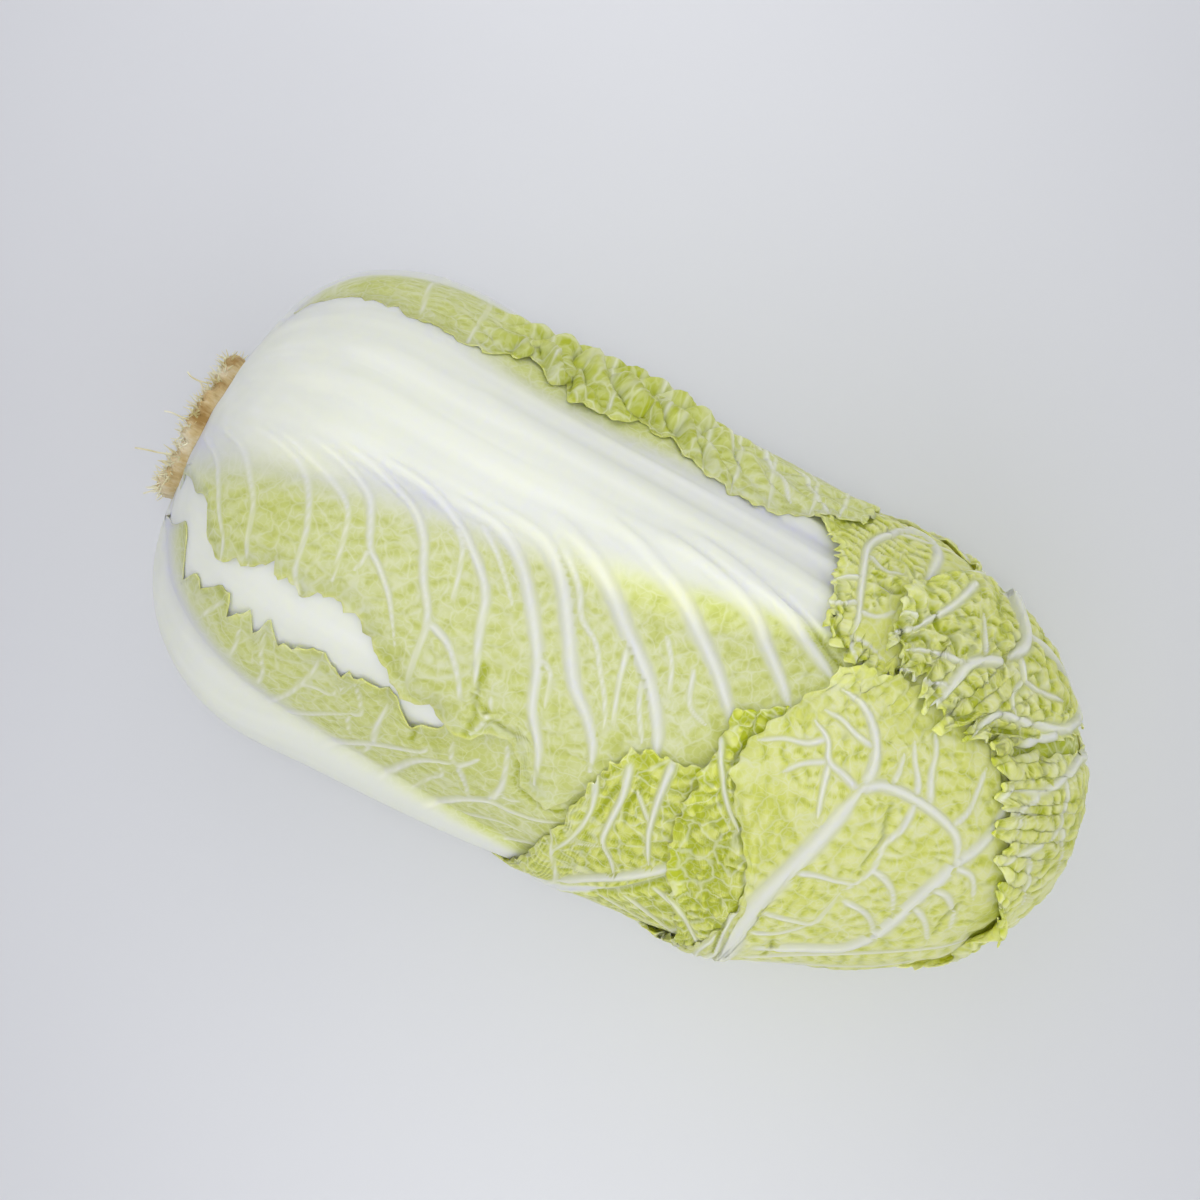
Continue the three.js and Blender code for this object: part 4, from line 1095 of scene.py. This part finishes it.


# %% [markdown]
# ## Leaf skin
# Cabbage leaf is wet tissue under a thin wax coat: light goes in, spreads a little and
# comes out coloured, and the wax gives a soft broad gloss (IOR about 1.45, roughness about
# 0.45). Ribs hold little chlorophyll and are nearly white; the blade is pale yellow-green.
# Shade is painted into the blade as deeper yellow-green in the hollows and creases, and light
# is painted on the domes as paler green. The edge is yellower, partly its own tint and partly
# a painted glow of light through it. The mask of rib and vein comes from the leaf's own
# points, and a fine net about 2.5 mm wide is drawn on the chart, where its size stays real.

# %% The skin material
def leaf_skin(name, hollow_shade, body_colour, dome_light, rib_colour, gloss):
    skin, tree = new_skin(name)
    chart = add(tree, "ShaderNodeAttribute", attribute_name="chart").outputs["Vector"]
    rib, near, swell, green, margin = (
        add(tree, "ShaderNodeAttribute", attribute_name=key).outputs["Fac"]
        for key in ("rib", "vein", "swell", "green", "margin"))

    # The blade: painted shade in the hollows and creases, painted light on the domes,
    # random patches, and greener on some leaves.
    patches = add(tree, NOISE, {"Vector": chart, "Scale": 0.05, "Detail": 4.0,
                                "Roughness": 0.6})
    calm = add(tree, RANGE, {"Value": patches, "To Min": -0.2, "To Max": 0.2})
    paler = add(tree, RANGE, {"Value": green, "To Min": 0.3, "To Max": -0.3})
    shaded_tone = add(tree, MATH, {0: swell, 1: calm}, operation="ADD")
    shaded_tone = add(tree, MATH, {0: shaded_tone, 1: paler}, operation="ADD")
    shaded_tone = add(tree, MATH, {0: rib, 1: 0.6, 2: shaded_tone}, operation="MULTIPLY_ADD")
    blade = add(tree, "ShaderNodeValToRGB", {"Fac": shaded_tone})
    # The ramp: painted shade of the hollows, the blade's own colour, painted light of the domes.
    ramp = blade.color_ramp
    ramp.elements[0].color, ramp.elements[1].color = colour(hollow_shade), colour(dome_light)
    ramp.elements.new(0.5).color = colour(body_colour)

    # The veins: bold ones from the leaf's points, then two sizes of net between them.
    bold = add(tree, RANGE, {"Value": near, "From Min": -0.75, "From Max": 1.1,
                             "To Max": 0.94}, interpolation_type="SMOOTHSTEP")
    strong = add(tree, RANGE, {"Value": green, "From Min": 0.4, "From Max": 0.8,
                               "To Min": 0.29, "To Max": 0.4})
    width = add(tree, RANGE, {"Value": patches, "From Min": 0.3, "From Max": 0.7,
                              "To Min": 0.03, "To Max": 0.17})
    small = add(tree, RANGE, {"Value": net_cells(tree, chart), "From Max": width,
                              "To Min": strong, "To Max": 0.0},
                interpolation_type="SMOOTHSTEP")
    warp = add(tree, NOISE, {"Vector": chart, "Scale": 0.3}).outputs["Color"]
    warped = add(tree, VECTOR, {0: warp, 1: (3.0, 3.0, 3.0), 2: chart},
                 operation="MULTIPLY_ADD")
    threads = add(tree, "ShaderNodeTexVoronoi", {"Vector": warped, "Scale": 0.4},
                  feature="DISTANCE_TO_EDGE").outputs["Distance"]
    finest = add(tree, RANGE, {"Value": threads, "From Max": 0.16, "To Min": 0.16,
                               "To Max": 0.0}, interpolation_type="SMOOTHSTEP")
    nets = add(tree, MATH, {0: small, 1: finest}, operation="MAXIMUM")
    pale = add(tree, MATH, {0: bold, 1: nets}, operation="MAXIMUM", use_clamp=True)
    veined = add(tree, "ShaderNodeMix", {"Factor": pale, "A": blade, "B": colour("#f4f7d5")},
                 data_type="RGBA").outputs["Result"]

    # The rib: nearly white, with faint streaks along it. The edge is a little yellower, partly
    # its own tint and partly a painted glow of light through the thin edge.
    along_rib = add(tree, VECTOR, {0: chart, 1: (0.01, 0.12, 0.12)}, operation="MULTIPLY")
    streaks = add(tree, NOISE, {"Vector": along_rib, "Scale": 1.0, "Detail": 2.0})
    rib_tone = add(tree, "ShaderNodeMix", {
        "Factor": streaks, "A": colour("#d8dbce"), "B": colour(rib_colour)},
        data_type="RGBA").outputs["Result"]
    tissue = add(tree, "ShaderNodeMix", {"Factor": rib, "A": veined, "B": rib_tone},
                 data_type="RGBA").outputs["Result"]
    # Painted glow at the edge, mixed with the edge's own yellower tint.
    edge = add(tree, MATH, {0: margin, 1: 0.3}, operation="MULTIPLY")
    edge_tint_and_glow = add(tree, "ShaderNodeMix", {"Factor": edge, "A": tissue, "B": colour("#d2cf7c")},
                data_type="RGBA").outputs["Result"]

    # The wax: a soft gloss that is a little uneven.
    rough = add(tree, RANGE, {"Value": patches, "To Min": gloss, "To Max": gloss + 0.14})
    shader = add(tree, "ShaderNodeBsdfPrincipled", {
        "Base Color": edge_tint_and_glow, "Roughness": rough, "IOR": 1.45, "Specular IOR Level": 0.4,
        "Subsurface Weight": 0.6, "Subsurface Radius": (1.0, 1.0, 0.35),
        "Subsurface Scale": 0.006})
    add(tree, "ShaderNodeOutputMaterial", {"Surface": shader})
    return skin


# Each skin: painted shade of hollows, blade colour, painted light of domes, rib, roughness.
SKINS = {
    "ribbed_leaf": leaf_skin("waxy leaf with white rib", "#b0bb28", "#d1da78", "#e4eab0",
                             "#e7e9e1", 0.42),
    "crinkled_leaf": leaf_skin("waxy crinkled leaf", "#aeba18", "#dbe365", "#edf29b",
                               "#e6e9da", 0.4),
}
print("skins:", ", ".join(skin.name for skin in SKINS.values()))

# %% [markdown]
# ## The heart
# Inside, dozens of leaves are packed so tight that only the laps between them show in the
# gaps. One closed body with those laps as steps stands for them all.

# %% Make the heart
HEART_RINGS, HEART_SIDES, HEART_LAPS = 90, 150, 5


def heart_reach(d):
    side = np.where(d[..., 1] > 0, HEART["back"], HEART["front"])
    vertical = np.where(d[..., 2] > 0, HEART["up"], HEART["down"])
    round_ = np.hypot(d[..., 1] / side, d[..., 2] / vertical)
    behind = np.maximum(-d[..., 0], 0)
    ahead = np.maximum(d[..., 0], 0)
    base = (round_ ** BLUNT + (behind / HEART["base"]) ** BLUNT) ** (-1 / BLUNT)
    lean = 0.12 * np.maximum(0, d[..., 1]) - 0.16 * np.maximum(0, -d[..., 1])
    crown = (1 + lean * ahead) / np.hypot(ahead / HEART["crown"], round_)
    return np.where(d[..., 0] < 0, base, crown)


def heart_points():
    share = np.linspace(0.004, 0.996, HEART_RINGS)[:, None]
    angle = np.arange(HEART_SIDES)[None, :] / HEART_SIDES * 2 * math.pi
    back = np.maximum(0, 1 - share / 0.26) * math.pi / 2
    front = np.maximum(0, (share - 0.68) / 0.32) * math.pi / 2
    foot = SPINE[0] + (SPINE[1] - SPINE[0]) * np.clip((share - 0.26) / 0.42, 0, 1)
    out = np.cos(back + front)
    ahead = np.sin(front) - np.sin(back) + 0 * angle
    d = np.stack([ahead, out * np.sin(angle), out * np.cos(angle)], axis=-1)
    turn = angle / (2 * math.pi) * HEART_LAPS + share * 1.4
    lap = turn - np.floor(turn)
    step = 2.2 * (1 - lap) * out * smooth(0.1, 0.3, share)
    crinkle = 0.8 * np.sin(share * 60 + lap * 6) * smooth(0.55, 0.8, share) * out
    height = heart_reach(d) - 1.6 + step + crinkle
    return outward(foot + 0 * angle, d, height)


def make_heart():
    points = heart_points()
    same = np.ones(points.shape[:2])
    item = ring_body("heart_leaves", points, {
        "chart": on_chart(points), "rib": 1 - smooth(20, 60, points[..., 0]),
        # An even tone on the ramp of painted light and shade.
        "swell": 0.2 * same, "vein": -same, "green": 0.8 * same})
    item.data.materials.append(SKINS["crinkled_leaf"])
    return item


heart = make_heart()
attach(heart, "root")
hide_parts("heart")
print("heart:", len(heart.data.polygons), "faces")

# %% [markdown]
# ## Lay the wrapper leaves
# From the innermost to the outermost, each leaf is laid on the ones below, its veins and
# blisters are raised, and the finished leaf joins what the next one lies on.

# %% Lay them one by one
laid = [ray_tree([heart])]
SLOTS = {s["node"]: s["material_slot"] for s in frame["record"]["subparts"]}
for number, leaf in enumerate(LEAVES):
    name = leaf["name"]
    later = [frame["nodes"][other["name"]] for other in LEAVES[number + 1:]]
    item = lay_leaf(leaf, laid, [ray_tree(later)] if later else [])
    raise_leaf(item, SKINS[SLOTS[name]], leaf)
    item.name = name + "_grown"
    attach(item, "root")
    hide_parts(name)
    laid.append(ray_tree([item]))
    print(item.name, len(item.data.polygons) * 2, "triangles")

# %% [markdown]
# ## The cut stem
# The stem was cut across and its wet core dried to a tan cork with a torn rim, where
# strands of vessel stick out. The butt is a turned form whose rim is torn by sines of
# unrelated lengths; Geometry Nodes set the strands on it, since they are many and alike.

# %% The torn butt: rings as radius, place along the head, and how torn; tears as sines
STEM_SIDES = 220
STEM_PROFILE = [(0.3, -1.4, 0), (5, -1.8, 0.1), (10, -1.4, 0.15), (14, -1.9, 0.3),
                (17.5, -1.8, 0.5), (20, -2.2, 0.8), (22, -2.0, 1), (23.4, -1.0, 0.9),
                (23.8, 0.2, 0.4), (23.2, 2.5, 0.1), (21.5, 6.0, 0), (20, 10.0, 0),
                (0.3, 10.5, 0)]
TEARS = [(0.8, 5, 1), (0.5, 13, 2.2), (0.5, 31, 0), (0.6, 67, 0.7)]


def torn(angle):
    return sum(size * np.sin(waves * angle + start) for size, waves, start in TEARS)


def make_stem():
    angle = np.arange(STEM_SIDES) / STEM_SIDES * 2 * math.pi
    rings = []
    for radius, x, tear in STEM_PROFILE:
        out = radius * (1 + 0.03 * np.sin(5 * angle + 0.4)) + 0.5 * tear * torn(angle + 2)
        along_x = x - tear * torn(angle) + 0.25 * np.sin(17 * angle + radius)
        rings.append(np.stack([along_x, out * np.sin(angle) + MIDDLE[1], out * np.cos(angle)], -1))
    rim = [float(tear >= 0.5) for _, _, tear in STEM_PROFILE]
    return ring_body("stem_cut", np.array(rings), {"rim": np.repeat(rim, STEM_SIDES)})


stem = make_stem()
print("stem:", len(stem.data.polygons), "faces")

# %% [markdown]
# ## Strands of the cut
# The tree scatters points on the torn rim and stands a thin tapered strand on each, leaning
# at random. A few long loose strands are drawn as paths and become fine tubes.

# %% The strand tree
def strand_tree():
    tree, given = new_tree("strands of the cut", {
        "Loose Strands": "Object", "Skin": "Material", "Strands per Area": "Float",
        "Length": "Float", "Thickness": "Float", "Seed": "Int"})
    rim = add(tree, NAMED, {"Name": "rim"}, data_type="FLOAT")
    on_rim = add(tree, MATH, {0: rim, 1: 0.5}, operation="GREATER_THAN")
    points = add(tree, "GeometryNodeDistributePointsOnFaces", {
        "Mesh": given["Geometry"], "Selection": on_rim, "Density": given["Strands per Area"],
        "Seed": given["Seed"]})
    strand = add(tree, "GeometryNodeMeshCone", {
        "Vertices": 5, "Side Segments": 2, "Radius Top": 0.00006,
        "Radius Bottom": given["Thickness"], "Depth": given["Length"]})
    leaning = add(tree, "FunctionNodeRandomValue", {
        0: (-0.7, -0.7, -3.0), 1: (0.7, 0.7, 3.0), "Seed": given["Seed"]},
        data_type="FLOAT_VECTOR")
    size = add(tree, "FunctionNodeRandomValue", {2: 0.3, 3: 1.5, "Seed": 5},
               data_type="FLOAT").outputs[1]
    turned = add(tree, "FunctionNodeRotateRotation", {
        "Rotation": points.outputs["Rotation"], "Rotate By": leaning}, rotation_space="LOCAL")
    standing = add(tree, "GeometryNodeInstanceOnPoints", {
        "Points": points, "Instance": strand, "Rotation": turned, "Scale": size})

    # The loose strands become tubes, and all of them get their material.
    loose = add(tree, "GeometryNodeObjectInfo", {"Object": given["Loose Strands"]})
    paths = add(tree, "GeometryNodeMeshToCurve", {"Mesh": loose.outputs["Geometry"]})
    round_ = add(tree, "GeometryNodeCurvePrimitiveCircle", {
        "Resolution": 6, "Radius": given["Thickness"]})
    tubes = add(tree, "GeometryNodeCurveToMesh", {
        "Curve": paths, "Profile Curve": round_, "Fill Caps": True})
    joined = add(tree, "GeometryNodeJoinGeometry")
    for part in (standing, tubes):
        tree.links.new(part.outputs[0], joined.inputs[0])
    made = add(tree, "GeometryNodeRealizeInstances", {"Geometry": joined})
    skinned = add(tree, "GeometryNodeSetMaterial", {"Geometry": made,
                                                    "Material": given["Skin"]})
    add(tree, "NodeGroupOutput", {"Geometry": skinned})
    return tree


STRANDS = strand_tree()
print("strand tree:", len(STRANDS.nodes), "nodes")

# %% [markdown]
# ## Dried cork
# Cut stem dries to something like cork: matt (roughness about 0.85), tan with rusty patches
# where it browned first, and paler strands 1 mm apart along the stem.

# %% The material of the cut
def cork(name, dark, body_colour, pale):
    skin, tree = new_skin(name)
    place_of = add(tree, "ShaderNodeTexCoord").outputs["Object"]
    stretched = add(tree, VECTOR, {0: place_of, 1: (150.0, 900.0, 900.0)},
                    operation="MULTIPLY")
    strands = add(tree, NOISE, {"Vector": stretched, "Scale": 1.0, "Detail": 4.0,
                                "Roughness": 0.7})
    patches = add(tree, NOISE, {"Vector": place_of, "Scale": 110.0, "Detail": 3.0})
    both = add(tree, MATH, {0: patches, 1: 1.3, 2: -0.15}, operation="MULTIPLY_ADD")
    both = add(tree, MATH, {0: strands, 1: 0.5, 2: both}, operation="MULTIPLY_ADD")
    shade = add(tree, RANGE, {"Value": both, "From Min": 0.45, "From Max": 1.05})
    tint = add(tree, "ShaderNodeValToRGB", {"Fac": shade})
    ramp = tint.color_ramp
    ramp.elements[0].color, ramp.elements[1].color = colour(dark), colour(pale)
    ramp.elements.new(0.35).color = colour(body_colour)
    bump = add(tree, "ShaderNodeBump", {"Height": strands, "Strength": 0.8,
                                        "Distance": 0.0008})
    shader = add(tree, "ShaderNodeBsdfPrincipled", {
        "Base Color": tint, "Roughness": 0.85, "IOR": 1.45, "Normal": bump,
        "Subsurface Weight": 0.2, "Subsurface Radius": (1.0, 0.7, 0.4),
        "Subsurface Scale": 0.001})
    add(tree, "ShaderNodeOutputMaterial", {"Surface": shader})
    return skin


stem.data.materials.append(cork("dried cork of the cut stem", "#a5834a", "#cdb685", "#ece6d2"))
print("stem material:", stem.data.materials[0].name)

# %% Set the strands
LOOSE = [
    [(-2.5, -12, 20), (-6, -13.4, 21), (-9, -14.2, 20.4), (-13, -15.5, 19)],
    [(-2.5, -0.5, 23), (-5.5, -1, 23.6), (-8, -1.2, 24), (-10, -1.8, 23.2)],
    [(-2, 12, 19), (-5, 11, 20.4), (-8, 10.8, 20.2), (-10, 11.6, 19.4)],
    [(-1.5, -22, 9), (-4, -25, 9.6), (-5.6, -26.5, 8.4)],
]
LOOSE_POINTS = 14


def loose_strands():
    paths = [through(drawn, np.linspace(0, 1, LOOSE_POINTS)) for drawn in LOOSE]
    points = (np.concatenate(paths) - MIDDLE) / 1000
    ends = range(LOOSE_POINTS, len(points) + 1, LOOSE_POINTS)
    edges = [(k, k + 1) for k in range(len(points)) if k + 1 not in ends]
    mesh = bpy.data.meshes.new("loose_strands")
    mesh.from_pydata(points.tolist(), edges, [])
    return put(mesh.name, mesh)


paths = loose_strands()
strand_skin = cork("dry vessel strands", "#c6b880", "#dfd8b0", "#f0eddc")
strands = put("stem_strands", run_tree(STRANDS, stem, {
    "Loose Strands": paths, "Skin": strand_skin, "Strands per Area": 420000.0,
    "Length": 0.003, "Thickness": 0.00025, "Seed": 3}))
bpy.data.objects.remove(paths)
for item in (stem, strands):
    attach(item, "root")
    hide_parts("stem_butt")
print("strands:", len(strands.data.polygons), "faces")

# %% [markdown]
# ## Floor and camera
# The head lies on a plain pale surface. The camera looks straight down, with the head turned
# in the frame.

# %% Floor
FLOOR = 3.0  # metres from its middle to an edge

floor_mesh = bpy.data.meshes.new("floor")
corners = [(-FLOOR, -FLOOR, 0), (FLOOR, -FLOOR, 0), (FLOOR, FLOOR, 0), (-FLOOR, FLOOR, 0)]
floor_mesh.from_pydata(corners, [], [(0, 1, 2, 3)])
floor = put("floor", floor_mesh)
paper = bpy.data.materials.new("matt pale paper")
paper.use_nodes = True
paper_shader = paper.node_tree.nodes["Principled BSDF"]
paper_shader.inputs["Base Color"].default_value = colour("#d3d4d9")
paper_shader.inputs["Roughness"].default_value = 0.9
floor_mesh.materials.append(paper)
print("floor:", 2 * FLOOR, "m wide")

# %% Camera
TURN = math.radians(28.5)
TARGET_X, TARGET_Y = ((np.array([129.2, 10.5]) - MIDDLE[:2]) / 1000).tolist()
CAMERA_HEIGHT = 1.267

camera = put("camera", bpy.data.cameras.new("camera"))
camera.data.sensor_width = 36
camera.data.lens = 120
camera.location = (TARGET_X, TARGET_Y, CAMERA_HEIGHT)
camera.rotation_euler = (0, 0, TURN)
bpy.context.scene.camera = camera
print("camera:", camera.data.lens, "mm lens,", CAMERA_HEIGHT, "m up")

# %% [markdown]
# ## Soft light from several sides
# A long strip overhead follows the ribs and shades them gently across. Four large windows,
# placed by their angle round the head, and a pale sky fill the rest, and leave hardly any
# shadow.

# %% Lights
AIM = Vector((TARGET_X, TARGET_Y, 0.03))
WINDOWS = [("window below", -61.5, 1.0, 3.7), ("window above", 118.5, 1.0, 2.5),
           ("window at the crown", 25.0, 0.6, 1.8), ("window at the stem", 205.0, 0.6, 1.2)]
WINDOW_DISTANCE = 1.3
SKY_STRENGTH = 0.75


def soft_light(name, stand, size, power):
    lamp = bpy.data.lights.new(name, "AREA")
    lamp.shape = "RECTANGLE"
    lamp.size, lamp.size_y = size
    lamp.energy = power
    item = put(name, lamp)
    item.location = stand
    item.rotation_euler = (AIM - stand).to_track_quat("-Z", "Y").to_euler()
    return item


overhead = soft_light("overhead strip", Vector((AIM.x, AIM.y, 1.9)), (0.16, 2.6), 0.86)
overhead.rotation_euler = (0, 0, TURN)
overhead.data.spread = math.radians(18)
for name, degrees, height, power in WINDOWS:
    angle = math.radians(degrees)
    stand = Vector((AIM.x + WINDOW_DISTANCE * math.cos(angle),
                    AIM.y + WINDOW_DISTANCE * math.sin(angle), height))
    soft_light(name, stand, (1.0, 1.0), power)
world = bpy.data.worlds.new("studio")
world.use_nodes = True
world.node_tree.nodes["Background"].inputs[0].default_value = colour("#f2f3f6")
world.node_tree.nodes["Background"].inputs[1].default_value = SKY_STRENGTH
bpy.context.scene.world = world
bpy.context.scene.view_settings.view_transform = "Standard"
print("lights:", 1 + len(WINDOWS))
